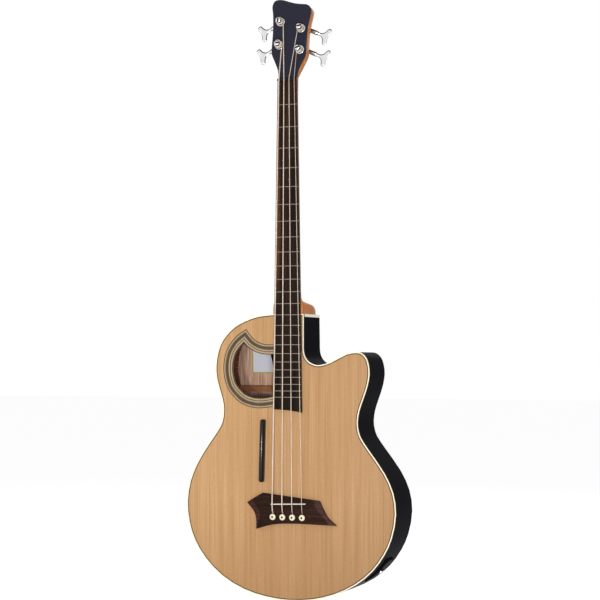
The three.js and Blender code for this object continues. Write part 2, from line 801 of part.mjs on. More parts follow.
function saddleBlock(grow, back, front) {
  const half = saddleLength / 2 + grow;
  const thick = saddleThickness / 2 + grow;
  const outline = [[-half, -thick], [half, -thick], [half, thick], [-half, thick]]
    .map(([x, across]) => [saddleOffset + x, across])
    .map(([x, across]) => new THREE.Vector2(x, saddleAt(x) + across));
  return plate(outline, [], flat(-front), flat(-back));
}

function makeBridge() {
  const body = plate(bridgeOutline(), [], flat(-bridgeTop), flat(-seat));
  const notches = strings.map(({ bridgeX, radius }) => {
    const { end } = pinRise(radius);
    return block(bridgeX - radius - seat, bridgeX + radius + seat, -bridgeTop - overrun, -notchFloor,
      pinZ, end + seat);
  });
  const slot = saddleBlock(seat, saddleFloor - seat - pickupThickness, bridgeTop + overrun);
  const wings = [wingCutter(leftRidgeShares, -1), wingCutter(rightRidgeShares, 1)];
  return cut(body, ...wings, slot, ...pinHoles(-bridgeTop, 0), ...notches);
}

function makeSaddle() {
  return saddleBlock(0, saddleFloor + seat, saddleHeight);
}

function makePickup() {
  return saddleBlock(0, saddleFloor - pickupThickness, saddleFloor);
}

function makePin(x) {
  const head = bridgeTop + seat;
  const profile = [
    [0, -pinLength + head], [pinTipRadius, -pinLength + head], [pinShankRadius, head], [pinHeadRadius, head],
    [pinHeadRadius, head + pinHeadHeight * 0.45], [pinHeadRadius * 0.8, head + pinHeadHeight * 0.85],
    [pinDotRadius, head + pinHeadHeight], [pinDotRadius, head + pinHeadHeight - pinDotDepth],
    [0, head + pinHeadHeight - pinDotDepth],
  ];
  return turned(profile).rotateX(Math.PI).translate(x, 0, pinZ);
}

// Strings

// The way a string takes round its post, in the headstock's frame: where it first touches the turn's circle,
// and a point at any angle past that.
function postTurn(string) {
  const { hand, nutX, postZ, turnRadius } = string;
  const nut = new THREE.Vector2(hand * nutX, -nutLength).sub(new THREE.Vector2(postSpread, postZ));
  const touch = nut.angle() - Math.acos(turnRadius / nut.length());
  const place = (angle, y, reach = turnRadius) => new THREE.Vector3(
    hand * (postSpread + reach * Math.cos(angle)), y, postZ + reach * Math.sin(angle));
  return { touch, place };
}

function makeString(string) {
  const { radius, nutX, bridgeX, hand, turnY } = string;
  const rise = pinRise(radius);
  const overBridge = -(bridgeTop + seat + radius);
  const overSaddle = -(saddleHeight + seat + radius);
  const overNut = -(nutSlotHeight + seat + radius);
  const { touch, place } = postTurn(string);
  const points = [
    new THREE.Vector3(bridgeX, rise.floor, pinZ + pinShankRadius + seat),
    new THREE.Vector3(bridgeX, rise.floor, rise.start),
    new THREE.Vector3(bridgeX, overBridge, rise.end - radius),
    new THREE.Vector3(bridgeX, overSaddle, saddleAt(bridgeX) - saddleThickness / 2),
    new THREE.Vector3(bridgeX, overSaddle, saddleAt(bridgeX) + saddleThickness / 2),
    new THREE.Vector3(nutX, overNut, 0),
    new THREE.Vector3(nutX, overNut, nutEnd),
  ];
  const heading = new THREE.Vector3(-hand * Math.sin(touch), 0, Math.cos(touch));
  const turn = [place(touch, turnY).addScaledVector(heading, levelRun)];
  const steps = Math.round(turnSteps * fixedTurn / (2 * Math.PI));
  for (let k = 0; k <= steps; k += 1) turn.push(place(touch - fixedTurn * k / steps, turnY));
  points.push(...turn.map((point) => point.applyMatrix4(headstockPlace)));
  return tube(points, radius, stringSides);
}

// Windings: the turns that the post carries, stacked in front of the string's fixed turn

function windingPath(string) {
  const { diameter, turnRadius, turnPitch, turnY, turns, hand } = string;
  const { touch, place } = postTurn(string);
  const start = touch - fixedTurn;
  const firstY = turnY - turnPitch;
  const steps = Math.round(turnSteps * turns);
  const heading = (angle) => new THREE.Vector3(hand * Math.sin(angle), 0, -Math.cos(angle));
  const loop = [];
  for (let k = 0; k <= steps; k += 1) {
    loop.push(place(start - 2 * Math.PI * turns * k / steps, firstY - turnPitch * turns * k / steps));
  }
  const tail = start - 2 * Math.PI * turns;
  const topY = firstY - turnPitch * turns;
  const bend = diameter * turnBendShare;
  const past = Math.asin(bend / (turnRadius - bend));
  const corner = [0.25, 0.5, 0.75, 1].map((share) => {
    const angle = share * (Math.PI / 2 + past);
    return place(tail, topY, turnRadius - bend * (1 - Math.cos(angle)))
      .addScaledVector(heading(tail), bend * Math.sin(angle));
  });
  const inward = place(tail - past, topY, 0).sub(place(tail - past, topY, 1));
  const points = [loop[0].clone().addScaledVector(heading(start), -diameter), ...loop, ...corner];
  points.push(corner[corner.length - 1].clone().addScaledVector(inward, diameter));
  return { points, loops: loop, slotAngle: tail - past };
}

// The least clear distance between one loop and the next, measured on the path's points.
function leastGap(loops, diameter) {
  let least = Infinity;
  loops.forEach((point, i) => {
    for (let k = i + Math.round(turnSteps / 2); k < loops.length; k += 1) {
      least = Math.min(least, point.distanceTo(loops[k]) - diameter);
    }
  });
  return least;
}

// Tuners. Each is made for the treble side and mirrored for the bass side. Its post is on the Y axis, its key
// runs along +X above the post, and the headstock's face is at y = 0.

function makeFerrule() {
  const back = -seat * 2 - veneerThickness;
  const bore = postRadius + seat;
  return turned([
    [bore, back - ferruleFlange], [ferruleRadius * 0.9, back - ferruleFlange],
    [ferruleRadius, back - ferruleFlange * 0.5],
    [ferruleRadius, back], [ferruleSleeveRadius, back], [ferruleSleeveRadius, back + ferruleSleeveLength],
    [bore, back + ferruleSleeveLength], [bore, back - ferruleFlange],
  ]);
}

function makeGear() {
  const outline = [];
  const rootRadius = gearPitchRadius - toothDedendum;
  for (let tooth = 0; tooth < gearTeeth; tooth += 1) {
    const middle = -Math.PI / 2 + 2 * Math.PI * (tooth + 0.5) / gearTeeth;
    const places = [[rootRadius, -toothRootWidth], [gearTipRadius, -toothTipWidth],
      [gearTipRadius, toothTipWidth], [rootRadius, toothRootWidth]];
    places.forEach(([radius, width]) => {
      const angle = middle + width / 2 / radius;
      outline.push(new THREE.Vector2(radius * Math.cos(angle), radius * Math.sin(angle)));
    });
  }
  const gear = plate(outline, [], flat(gearY - gearThickness / 2), flat(gearY + gearThickness / 2));
  const at = gear.attributes.position;
  const lead = threadPitch / (2 * Math.PI * wormPitchRadius * gearPitchRadius);
  for (let i = 0; i < at.count; i += 1) {
    const point = new THREE.Vector3().fromBufferAttribute(at, i);
    point.applyAxisAngle(new THREE.Vector3(0, 1, 0), lead * (point.y - gearY));
    at.setXYZ(i, point.x, point.y, point.z);
  }
  return gear;
}

function makePost(slotAngle) {
  const top = -ferruleFront - postHeight;
  const pivotEnd = gearY + gearTipRadius - wormTipRadius + wormPitchRadius;
  const core = gearPitchRadius - toothDedendum;
  const body = turned([
    [0, top], [postCapRadius * 0.85, top], [postCapRadius, top + postCapHeight / 2],
    [postCapRadius, top + postCapHeight],
    [postWaistRadius, top + postCapHeight], [postWaistRadius, -ferruleFront + seat],
    [postRadius, -ferruleFront + seat * 2], [postRadius, headstockThickness + seat],
    [core * 0.9, headstockThickness + seat], [core * 0.9, gearY + gearThickness / 2],
    [postPivotRadius, gearY + gearThickness / 2], [postPivotRadius, pivotEnd], [0, pivotEnd],
  ]);
  const slot = block(-ferruleRadius, ferruleRadius, top - overrun, top + postSlotDepth,
    -postSlotWidth / 2, postSlotWidth / 2).rotateY(-slotAngle);
  return cut(join(body, makeGear()), slot);
}

function makeKey() {
  const wallOut = housingSide() + housingWall;
  const shaft = turned([
    [0, seat - housingSide()], [wormRootRadius, seat - housingSide()],
    [wormRootRadius, threadHalfLength + seat * 2],
    [journalRadius, threadHalfLength + seat * 2], [journalRadius, wallOut + seat],
    [keyShaftRadius, wallOut + seat], [keyShaftRadius, keyShaftLength * 0.9],
    [keyShaftRadius * 0.8, keyShaftLength], [keyThickness / 2, keyShaftLength + keyWingLength * 0.3],
    [0, keyShaftLength + keyWingLength * 0.3],
  ], keyShaftSides).rotateZ(-Math.PI / 2);
  const rings = [];
  const turns = 2 * threadHalfLength / threadPitch - toothRootWidth / threadPitch;
  const steps = Math.round(turns * threadSteps);
  for (let k = 0; k <= steps; k += 1) {
    const turn = turns * (k / steps - 0.5);
    const angle = -Math.PI / 2 + 2 * Math.PI * turn;
    const corners = [[wormRootRadius - seat, -toothRootWidth], [wormTipRadius, -toothTipWidth],
      [wormTipRadius, toothTipWidth], [wormRootRadius - seat, toothRootWidth]];
    rings.push(corners.map(([radius, width]) => new THREE.Vector3(
      threadPitch * turn + width / 2, radius * Math.cos(angle), radius * Math.sin(angle))));
  }
  const half = keyWingShares.map(([x, z]) => [keyShaftLength + x * keyWingLength, z * keyHalfSpan]);
  const mirrored = half.slice(0, -1).reverse().map(([x, z]) => [x, -z]);
  const wing = plate(smooth([...half, ...mirrored], 1), [], flat(-keyThickness / 2), flat(keyThickness / 2));
  return join(shaft, loft(rings), wing).translate(0, gearY, wormOffset);
}

function housingSide() {
  return gearTipRadius + housingRoom;
}

function makeHousing() {
  const side = housingSide();
  const top = wormOffset + wormTipRadius + housingRoom;
  const front = headstockThickness + seat;
  const floor = gearY + gearTipRadius - wormTipRadius + wormPitchRadius + seat;
  const edge = side + housingWall;
  const outer = roundedRectangle(-edge, edge, -edge, top + housingWall, housingCorner);
  const body = plate(outer, [], flat(front), flat(floor + housingWall));
  const room = block(-side, side, front - overrun, floor, -side, top);
  const journal = roundX(journalRadius + seat, gearY, wormOffset, 0, edge + overrun, keyShaftSides);
  return cut(body, room, journal);
}

function mirrored(geometry) {
  return closed(geometry.clone().scale(-1, 1, 1));
}

// Fittings on the body

// A strap button stands on y = 0 and points to +Y, with its stem below.
function strapButton() {
  return turned([
    [0, -buttonStemLength], [buttonStemRadius, -buttonStemLength], [buttonStemRadius, seat],
    [buttonRadius, seat], [buttonRadius, seat + buttonLip / 2], [buttonWaistRadius, seat + buttonLip * 1.6],
    [buttonWaistRadius, buttonHeight - buttonLip * 1.4], [buttonRadius, buttonHeight - buttonLip * 0.6],
    [buttonRadius, buttonHeight], [0, buttonHeight],
  ]);
}

function tailButtonPart(geometry) {
  return geometry.rotateX(-Math.PI / 2).translate(0, backPlane(0, tailZ) / 2, tailZ);
}

function heelButtonPart(geometry) {
  const z = -neckJoint - heelButtonDown;
  return geometry.rotateX(backTilt).translate(0, backPlane(0, z), z);
}

// A jack part is made along +Y, with the side's outer face at y = 0.
function jackPart(geometry) {
  const { point, out } = outlineAt(jackAngle);
  const turnedOut = geometry.rotateZ(-Math.PI / 2).rotateY(-Math.atan2(out.y, out.x));
  return turnedOut.translate(point.x, jackDepth, point.y);
}

function makeJack() {
  const out = 2 * seat + jackPlateThickness;
  return jackPart(turned([
    [jackBoreRadius, out + jackNutHeight], [jackNutRadius, out + jackNutHeight], [jackNutRadius, out],
    [jackBarrelRadius, out], [jackBarrelRadius, -jackBarrelLength], [0, -jackBarrelLength],
    [0, out + jackNutHeight - jackBoreDepth], [jackBoreRadius, out + jackNutHeight - jackBoreDepth],
    [jackBoreRadius, out + jackNutHeight],
  ]));
}

function makeJackPlate() {
  const band = bodyRing(-seat - jackPlateThickness, jackPlateThickness,
    flat(jackDepth - jackPlateWidth / 2), flat(jackDepth + jackPlateWidth / 2));
  const length = jackPlateLength / 2;
  const window = jackPart(block(-jackPlateWidth, jackPlateWidth, -overrun * 3, overrun * 3, -length, length));
  const hole = roundY(jackBarrelRadius + seat, 0, 0, -jackBarrelLength, jackBarrelLength);
  return cut(common(band, window), jackPart(hole));
}

function makeThumbrest() {
  const [x, top] = thumbrestPlace;
  const ends = [[0, 0.55], [0.012, 0.85], [0.04, 1]];
  const all = [...ends, ...ends.map(([along, share]) => [1 - along, share]).reverse()];
  const half = thumbrestWidth / 2;
  const rings = all.map(([along, share]) => {
    const ring = archRing(top - along * thumbrestLength, share * half, -share * thumbrestHeight, 0.75, -seat);
    return ring.map((point) => point.setX(point.x + x - along * thumbrestSlant));
  });
  return loft(rings);
}

// Materials

const spruce = { color: 0xd2aa78, roughness: 0.45 };
const backWood = { color: 0x8a5a3c, roughness: 0.6 };
const innerWood = { color: 0xbe9682, roughness: 0.7 };
const blackSide = { color: 0x1c1c22, roughness: 0.35 };
const cream = { color: 0xf5e4c8, roughness: 0.4 };
const neckWood = { color: 0xbe825f, roughness: 0.45 };
const darkWood = { color: 0x2d1e18, roughness: 0.55 };
const bridgeWood = { color: 0x3c2622, roughness: 0.6 };
const rosetteColour = { color: 0x6e5f41, roughness: 0.5 };
const satinBlack = { color: 0x2d2d3a, roughness: 0.5 };
const glossBlack = { color: 0x0c0c0e, roughness: 0.12 };
const chrome = { color: 0xd8d8da, roughness: 0.15, metalness: 1 };
const steel = { color: 0x8f8f92, roughness: 0.35, metalness: 1 };
const stringMetal = { color: 0xaf9f90, roughness: 0.35, metalness: 0.9 };
const paper = { color: 0xd7d7e1, roughness: 0.8 };

const guitar = new THREE.Group();

function add(name, geometry, look, parent = guitar) {
  const mesh = new THREE.Mesh(closed(geometry), new THREE.MeshStandardMaterial(look));
  mesh.name = name;
  parent.add(mesh);
  return mesh;
}

add('soundboard', makeSoundboard(), spruce);
add('rosette', makeRosette(), rosetteColour);
add('back_plate', makeBack(), backWood);
add('side_rim', makeRim(), blackSide);
add('binding_front', bodyRing(0, bindingWidth, flat(0), flat(bindingDepth)), cream);
add('binding_back', bodyRing(0, bindingWidth, behindBack(bindingDepth), backPlane), cream);
add('lining_front', makeLining(flat(topInside), flat(topInside + liningDepth)), innerWood);
add('lining_back', makeLining(behindBack(backInside + liningDepth), behindBack(backInside)), innerWood);
add('neck_block', makeNeckBlock(), innerWood);
add('tail_block', makeTailBlock(), innerWood);
add('cross_brace', makeCrossBrace(), innerWood);
['upper', 'middle', 'lower'].forEach((name, i) => {
  add(`back_brace_${name}`, makeBackBrace(backBraceShares[i]), innerWood);
});
add('bridge_plate', makeBridgePlate(), innerWood);
add('label', makeLabel(), paper);

add('neck', makeNeck(), neckWood);
add('fingerboard', makeFingerboard(), darkWood);
add('nut', makeNut(), satinBlack);
add('truss_rod', makeTrussRod(), steel);
add('neck_bolt_front', makeNeckBolt(boltFront), steel);
add('neck_bolt_back', makeNeckBolt(boltBack), steel);

add('bridge', makeBridge(), bridgeWood);
add('saddle', makeSaddle(), cream);
add('saddle_pickup', makePickup(), steel);
add('thumbrest', makeThumbrest(), glossBlack);
add('strap_button_tail', tailButtonPart(strapButton()), chrome);
add('strap_button_heel', heelButtonPart(strapButton()), chrome);
add('jack_plate', makeJackPlate(), glossBlack);
add('jack', makeJack(), chrome);

const headstock = new THREE.Group();
headstock.position.z = headstockFoot;
headstock.rotation.x = -headstockTilt;
guitar.add(headstock);
add('headstock_veneer', makeVeneer(), satinBlack, headstock);

strings.forEach((string) => {
  const { name, hand, postX, postZ, diameter, radius } = string;
  add(`bridge_pin_${name}`, makePin(string.bridgeX), cream);
  add(`string_${name}`, makeString(string), stringMetal);

  const { points, loops, slotAngle } = windingPath(string);
  console.log(`winding_${name}: least gap between loops ${leastGap(loops, diameter).toFixed(2)} mm`);
  add(`winding_${name}`, tube(points, radius, stringSides), stringMetal, headstock);

  const tuner = new THREE.Group();
  tuner.position.set(postX, 0, postZ);
  tuner.rotation.y = hand * keyAngle;
  headstock.add(tuner);
  const side = hand > 0 ? (geometry) => geometry : mirrored;
  add(`tuner_ferrule_${name}`, side(makeFerrule()), chrome, tuner);
  add(`tuner_post_${name}`, side(makePost(slotAngle + keyAngle)), chrome, tuner);
  add(`tuner_key_${name}`, side(makeKey()), chrome, tuner);
  add(`tuner_housing_${name}`, side(makeHousing()), chrome, tuner);
});

export default guitar;
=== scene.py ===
"""An acoustic bass guitar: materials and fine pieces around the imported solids.

Lengths are millimetres until a mesh is made, and metres in materials, lamps and the floor.
X is the treble side, Y is the back, Z is up the neck.
"""

import math
from math import cos, pi, radians, sin, tan

import bmesh
import bpy
from mathutils import Matrix, Vector
from mathutils.geometry import tessellate_polygon


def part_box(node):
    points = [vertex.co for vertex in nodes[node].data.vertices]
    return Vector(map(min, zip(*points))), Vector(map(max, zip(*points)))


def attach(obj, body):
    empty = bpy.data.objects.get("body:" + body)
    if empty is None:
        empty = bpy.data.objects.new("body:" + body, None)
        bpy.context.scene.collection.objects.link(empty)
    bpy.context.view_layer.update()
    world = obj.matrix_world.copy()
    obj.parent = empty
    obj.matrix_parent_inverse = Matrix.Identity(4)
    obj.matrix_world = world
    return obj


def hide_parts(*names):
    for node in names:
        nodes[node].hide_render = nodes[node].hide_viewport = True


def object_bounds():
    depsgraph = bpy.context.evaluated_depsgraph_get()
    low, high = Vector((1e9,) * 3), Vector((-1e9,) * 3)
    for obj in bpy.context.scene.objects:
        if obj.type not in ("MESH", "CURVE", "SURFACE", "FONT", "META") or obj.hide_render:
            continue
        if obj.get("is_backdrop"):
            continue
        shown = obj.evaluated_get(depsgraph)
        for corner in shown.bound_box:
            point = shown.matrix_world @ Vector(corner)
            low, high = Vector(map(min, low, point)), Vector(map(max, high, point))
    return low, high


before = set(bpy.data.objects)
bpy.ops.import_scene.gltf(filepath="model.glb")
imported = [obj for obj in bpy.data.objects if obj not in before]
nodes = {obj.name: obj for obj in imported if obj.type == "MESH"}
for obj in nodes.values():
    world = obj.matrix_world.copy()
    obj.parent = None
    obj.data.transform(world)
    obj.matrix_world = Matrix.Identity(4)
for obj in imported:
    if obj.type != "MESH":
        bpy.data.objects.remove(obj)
cad_low, cad_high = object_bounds()
MM = 0.001
TO_MM = 1e3
ROOT = "instrument"

# Camera

AZIMUTH = radians(21)
DISTANCE = 3.523
LENS = 103.09
SENSOR = 36
SHIFT_UP = 0.1035
NEAR, FAR = 0.1, 60
AIM_ASIDE, AIM_DOWN = 24.4, 575.7
AIM = Vector((AIM_ASIDE * cos(AZIMUTH), AIM_ASIDE * sin(AZIMUTH), -AIM_DOWN)) * MM

camera_data = bpy.data.cameras.new("camera")
camera = bpy.data.objects.new("camera", camera_data)
bpy.context.scene.collection.objects.link(camera)
camera_data.lens = LENS
camera_data.sensor_width = SENSOR
camera_data.shift_y = SHIFT_UP
camera_data.clip_start, camera_data.clip_end = NEAR, FAR
away = Vector((sin(AZIMUTH), -cos(AZIMUTH), 0))
camera.location = AIM + away * DISTANCE
camera.rotation_mode = "QUATERNION"
camera.rotation_quaternion = (-away).to_track_quat("-Z", "Y")
bpy.context.scene.camera = camera


# Materials

WHITE = (255, 255, 255)


def rgb(r, g, b):
    """A screen colour as the linear one that a shader takes."""
    return tuple((c / 255 / 12.92) if c <= 10 else ((c / 255 + 0.055) / 1.055) ** 2.4 for c in (r, g, b)) + (1,)


def darker(color, share):
    return tuple(c * share for c in color)


class Look:
    """A material under construction: short calls that add a node and join it up."""

    def __init__(self, name, color, rough, metal=0.0, coat=0.0, coat_rough=0.1, spec=0.5):
        self.m = bpy.data.materials.new(name)
        self.m.use_nodes = True
        self.t = self.m.node_tree
        self.b = self.t.nodes["Principled BSDF"]
        self.b.inputs["Base Color"].default_value = rgb(*color)
        self.b.inputs["Roughness"].default_value = rough
        self.b.inputs["Metallic"].default_value = metal
        self.b.inputs["Coat Weight"].default_value = coat
        self.b.inputs["Coat Roughness"].default_value = coat_rough
        self.b.inputs["Specular IOR Level"].default_value = spec

    def node(self, kind, **values):
        n = self.t.nodes.new(kind)
        for key, value in values.items():
            if hasattr(n, key) and key not in n.inputs:
                setattr(n, key, value)
            else:
                self.put(n.inputs[key], value)
        return n

    def put(self, socket, value):
        if isinstance(value, bpy.types.NodeSocket):
            self.t.links.new(value, socket)
        else:
            socket.default_value = value

    def spot(self):
        """The object's own coordinates in metres, one output for each axis."""
        return self.node("ShaderNodeSeparateXYZ", Vector=self.node("ShaderNodeTexCoord").outputs["Object"]).outputs

    def place(self, scale, mirror=False):
        """Coordinates in metres, stretched by scale. A mirrored place is book-matched in X."""
        if mirror:
            x, y, z = self.spot()
            vector = self.node("ShaderNodeCombineXYZ", X=self.math("ABSOLUTE", x), Y=y, Z=z).outputs[0]
        else:
            vector = self.node("ShaderNodeTexCoord").outputs["Object"]
        return self.node("ShaderNodeMapping", Vector=vector, Scale=scale).outputs[0]

    def noise(self, vector, scale, detail=2.0, rough=0.5, distortion=0.0):
        n = self.node("ShaderNodeTexNoise", Vector=vector, Scale=scale, Detail=detail, Roughness=rough,
                      Distortion=distortion)
        return n.outputs["Fac"]

    def ramp(self, factor, stops):
        n = self.node("ShaderNodeValToRGB", Fac=factor)
        while len(n.color_ramp.elements) < len(stops):
            n.color_ramp.elements.new(0.5)
        for element, (at, color) in zip(n.color_ramp.elements, stops):
            element.position = at
            element.color = rgb(*color)
        return n.outputs["Color"]

    def mix(self, factor, a, b, mode="MIX"):
        n = self.node("ShaderNodeMix", data_type="RGBA", blend_type=mode)
        for socket, value in ((n.inputs[0], factor), (n.inputs[6], a), (n.inputs[7], b)):
            self.put(socket, value)
        return n.outputs[2]

    def tint(self, base, factor, stops):
        """The base colour, multiplied by a ramp's."""
        return self.mix(1.0, base, self.ramp(factor, stops), "MULTIPLY")

    def math(self, operation, a, b=0.0, c=0.0):
        n = self.node("ShaderNodeMath", operation=operation)
        for socket, value in zip(n.inputs, (a, b, c)):
            self.put(socket, value)
        return n.outputs[0]

    def remap(self, value, **ends):
        """The value on a new range. ends are from_min, from_max, to_min and to_max, and 0 or 1 where not given."""
        named = {key.replace("_", " ").title(): end for key, end in ends.items()}
        return self.node("ShaderNodeMapRange", Value=value, **named).outputs[0]

    def bump(self, height, strength, distance=0.0004):
        n = self.node("ShaderNodeBump", Height=height, Strength=strength, Distance=distance)
        self.put(self.b.inputs["Normal"], n.outputs[0])

    def color(self, value):
        self.put(self.b.inputs["Base Color"], value)

    def rough(self, factor, low, high):
        self.put(self.b.inputs["Roughness"], self.remap(factor, to_min=low, to_max=high))

    def mottled(self, specks, color):
        """A colour that varies by 4 %."""
        return self.mix(specks, darker(rgb(*color)[:3], 0.96) + (1,), rgb(*color))


def wood(name, light, dark, fine, streak, rough, depth=0.25, spec=0.4):
    """Wood with its grain along Z: fine is its lines to a metre across, streak its broad bands to a metre."""
    k = Look(name, light, rough, spec=spec)
    grain = k.noise(k.place((fine, fine, fine * 0.012)), 1, 3, 0.6, 0.4)
    bands = k.noise(k.place((streak, streak, streak * 0.05)), 1, 3, 0.55, 0.6)
    cloud = k.noise(k.place((6, 6, 2.5)), 1, 2)
    tone = k.ramp(bands, [(0.3, light), (0.72, dark)])
    middle = tuple(light[i] * 0.45 + dark[i] * 0.55 for i in range(3))
    shade = k.mix(0.35, tone, rgb(*middle))
    lined = k.tint(shade, grain, [(0.38, WHITE), (0.66, darker(WHITE, 1 - depth * 0.6))])
    k.color(k.tint(lined, cloud, [(0.3, WHITE), (0.75, (236, 230, 222))]))
    k.rough(grain, rough * 0.85, min(rough * 1.2, 1))
    k.bump(grain, 0.12, 0.0002)
    return k.m


def plain(name, color, rough, **more):
    """A moulded or polished material: even, with very fine variation in its gloss."""
    k = Look(name, color, rough, **more)
    specks = k.noise(k.place((1, 1, 1)), 900, 3)
    k.color(k.mottled(specks, color))
    k.rough(specks, rough * 0.85, min(rough * 1.2 + 0.01, 1))
    k.bump(specks, 0.02, 0.0001)
    return k.m


def spruce():
    """The top's book-matched spruce, with painted shade that makes it a little darker towards the treble side and the
    tail.
    """
    k = Look("spruce_top", (212, 172, 122), 0.42, coat=0.12, coat_rough=0.25, spec=0.3)
    grain = k.noise(k.place((820, 820, 5), True), 1, 2, 0.5, 0.3)
    streaks = k.noise(k.place((95, 95, 1.6), True), 1, 4, 0.62, 0.5)
    bands = k.noise(k.place((22, 22, 0.9), True), 1, 2, 0.5, 0.3)
    silk = k.noise(k.place((160, 160, 210), True), 1, 2, 0.5, 0.6)
    tone = k.ramp(bands, [(0.28, (207, 169, 125)), (0.55, (202, 163, 118)), (0.8, (194, 155, 110))])
    lined = k.tint(tone, grain, [(0.35, WHITE), (0.7, (232, 220, 204))])
    streaked = k.tint(lined, streaks, [(0.35, WHITE), (0.75, (236, 224, 206))])
    silky = k.tint(streaked, silk, [(0.4, (250, 248, 244)), (0.7, WHITE)])
    # Painted shade: darker towards the treble side and towards the tail.
    spot = k.spot()
    treble = k.remap(spot["X"], from_min=-0.2, from_max=0.23)
    tail = k.remap(spot["Z"], from_min=-0.86, from_max=-1.08)
    treble_painted_shade = k.tint(silky, treble, [(0, WHITE), (1, (233, 230, 226))])
    k.color(k.tint(treble_painted_shade, tail, [(0, WHITE), (1, (234, 229, 222))]))
    k.rough(grain, 0.36, 0.5)
    k.bump(grain, 0.08, 0.0002)
    return k.m


def rosewood(name, light, dark, rough, red, across=False, warm=None):
    """Dark board wood: near-black with brown and reddish stripes that run up the neck, or across it.

    warm is the colour of a lighter stripe along the bass edge, which fades out above the body.
    """
    k = Look(name, dark, rough, spec=0.07)
    stripes = k.noise(k.place((9, 60, 190) if across else (150, 40, 1.8)), 1, 4, 0.6, 0.4)
    pores = k.noise(k.place((60, 1500, 1500) if across else (1500, 1500, 45)), 1, 2, 0.6)
    broad = k.noise(k.place((5, 20, 60) if across else (48, 20, 0.9)), 1, 2, 0.5)
    tone = k.ramp(stripes, [(0.4, dark), (0.56, light), (0.72, red)])
    body = k.mix(broad, rgb(*dark), tone)
    if warm:
        spot = k.spot()
        drift = k.math("MULTIPLY_ADD", k.noise(k.place((60, 60, 3)), 1, 2), 0.022, spot["X"])
        edge = k.remap(drift, from_min=-0.002, from_max=-0.014)
        upper = k.remap(spot["Z"], from_min=-0.46, from_max=-0.36)
        body = k.mix(k.math("MULTIPLY", edge, upper), body, k.mix(stripes, rgb(*dark), rgb(*warm)))
    k.color(k.tint(body, pores, [(0.32, (150, 140, 135)), (0.5, WHITE)]))
    k.rough(pores, rough * 0.85, rough * 1.15)
    k.bump(pores, 0.15, 0.0002)
    return k.m


def brushed(name, color, rough, edge=None):
    """Metal with very fine lines. With an edge colour, it has painted dark reflections: darker where it curves away
    and where it faces up, down to edge.
    """
    k = Look(name, color, rough, metal=1.0)
    if edge:
        # Painted reflection: the colour turns dark where the surface curves away, down to edge.
        facing = k.node("ShaderNodeLayerWeight", Blend=0.5).outputs["Facing"]
        painted_edge_reflection = k.ramp(facing, [(0.14, color), (0.3, darker(color, 0.7)), (0.55, edge)])
        # Painted reflection: the colour turns dark where the surface faces up.
        normal = k.node("ShaderNodeNewGeometry").outputs["Normal"]
        up = k.node("ShaderNodeSeparateXYZ", Vector=normal).outputs["Z"]
        k.color(k.tint(painted_edge_reflection, up, [(0.24, WHITE), (0.4, (44, 44, 48))]))
    lines = k.noise(k.place((200, 4000, 200)), 1, 2)
    k.rough(lines, rough * 0.8, rough * 1.25)
    k.bump(lines, 0.03, 0.0001)
    return k.m


def wound(name, color, pitch):
    """A wound string: fine ridges round it, from the length that its UVs carry, with painted shade in the grooves
    between them.
    """
    k = Look(name, color, 0.42, metal=0.3)
    parts = k.node("ShaderNodeSeparateXYZ", Vector=k.node("ShaderNodeUVMap", uv_map="length").outputs[0])
    turns = k.math("MULTIPLY", parts.outputs["X"], 2 * pi / pitch)
    slant = k.math("ADD", turns, k.math("MULTIPLY", parts.outputs["Y"], 2 * pi))
    ridge = k.math("ADD", k.math("MULTIPLY", k.math("SINE", slant), 0.5), 0.5)
    worn = k.noise(k.place((60, 60, 25)), 1, 2)
    # Painted shade: darker in the grooves between the turns.
    base = k.ramp(ridge, [(0.05, darker(color, 0.66)), (0.5, color)])
    k.color(k.tint(base, worn, [(0.35, WHITE), (0.7, (236, 226, 216))]))
    k.rough(ridge, 0.55, 0.34)
    k.bump(ridge, 0.5, 0.0001)
    return k.m


def two_tone(name, front, behind, depth):
    """A strip whose front part has one colour, down to a depth in millimetres, and the rest another."""
    k = Look(name, front, 0.34, spec=0.3)
    specks = k.noise(k.place((1, 1, 1)), 900, 3)
    deep = k.math("GREATER_THAN", k.spot()["Y"], depth * MM)
    k.color(k.mix(deep, k.mottled(specks, front), rgb(*behind)))
    k.put(k.b.inputs["Specular IOR Level"], k.remap(deep, to_min=0.3, to_max=0.01))
    k.rough(specks, 0.3, 0.4)
    return k.m


SPRUCE = spruce()
BARE_SPRUCE = wood("bare_spruce", (214, 178, 132), (196, 156, 108), 800, 60, 0.7)
# Inside the box, the back's wood is painted brighter as painted light, and the sides' wood darker as painted shade.
INNER_PAINTED_LIGHT = wood("inner_wood", (250, 212, 188), (212, 160, 134), 420, 46, 0.62, depth=0.5)
SIDE_WALL_PAINTED_SHADE = wood("inner_side", (120, 76, 52), (84, 50, 36), 420, 46, 0.6, depth=0.5)
LINING = wood("lining_wood", (122, 74, 50), (92, 54, 38), 500, 70, 0.65)
BLOCK = wood("block_wood", (182, 120, 82), (150, 92, 60), 380, 40, 0.65)
NECK = wood("neck_wood", (220, 142, 74), (192, 116, 58), 520, 50, 0.4, depth=0.3, spec=0.12)
BOARD = rosewood("board_wood", (52, 33, 22), (20, 15, 12), 0.5, (92, 60, 40), warm=(156, 102, 62))
BRIDGE = rosewood("bridge_wood", (58, 32, 22), (31, 17, 12), 0.52, (76, 40, 28), across=True)
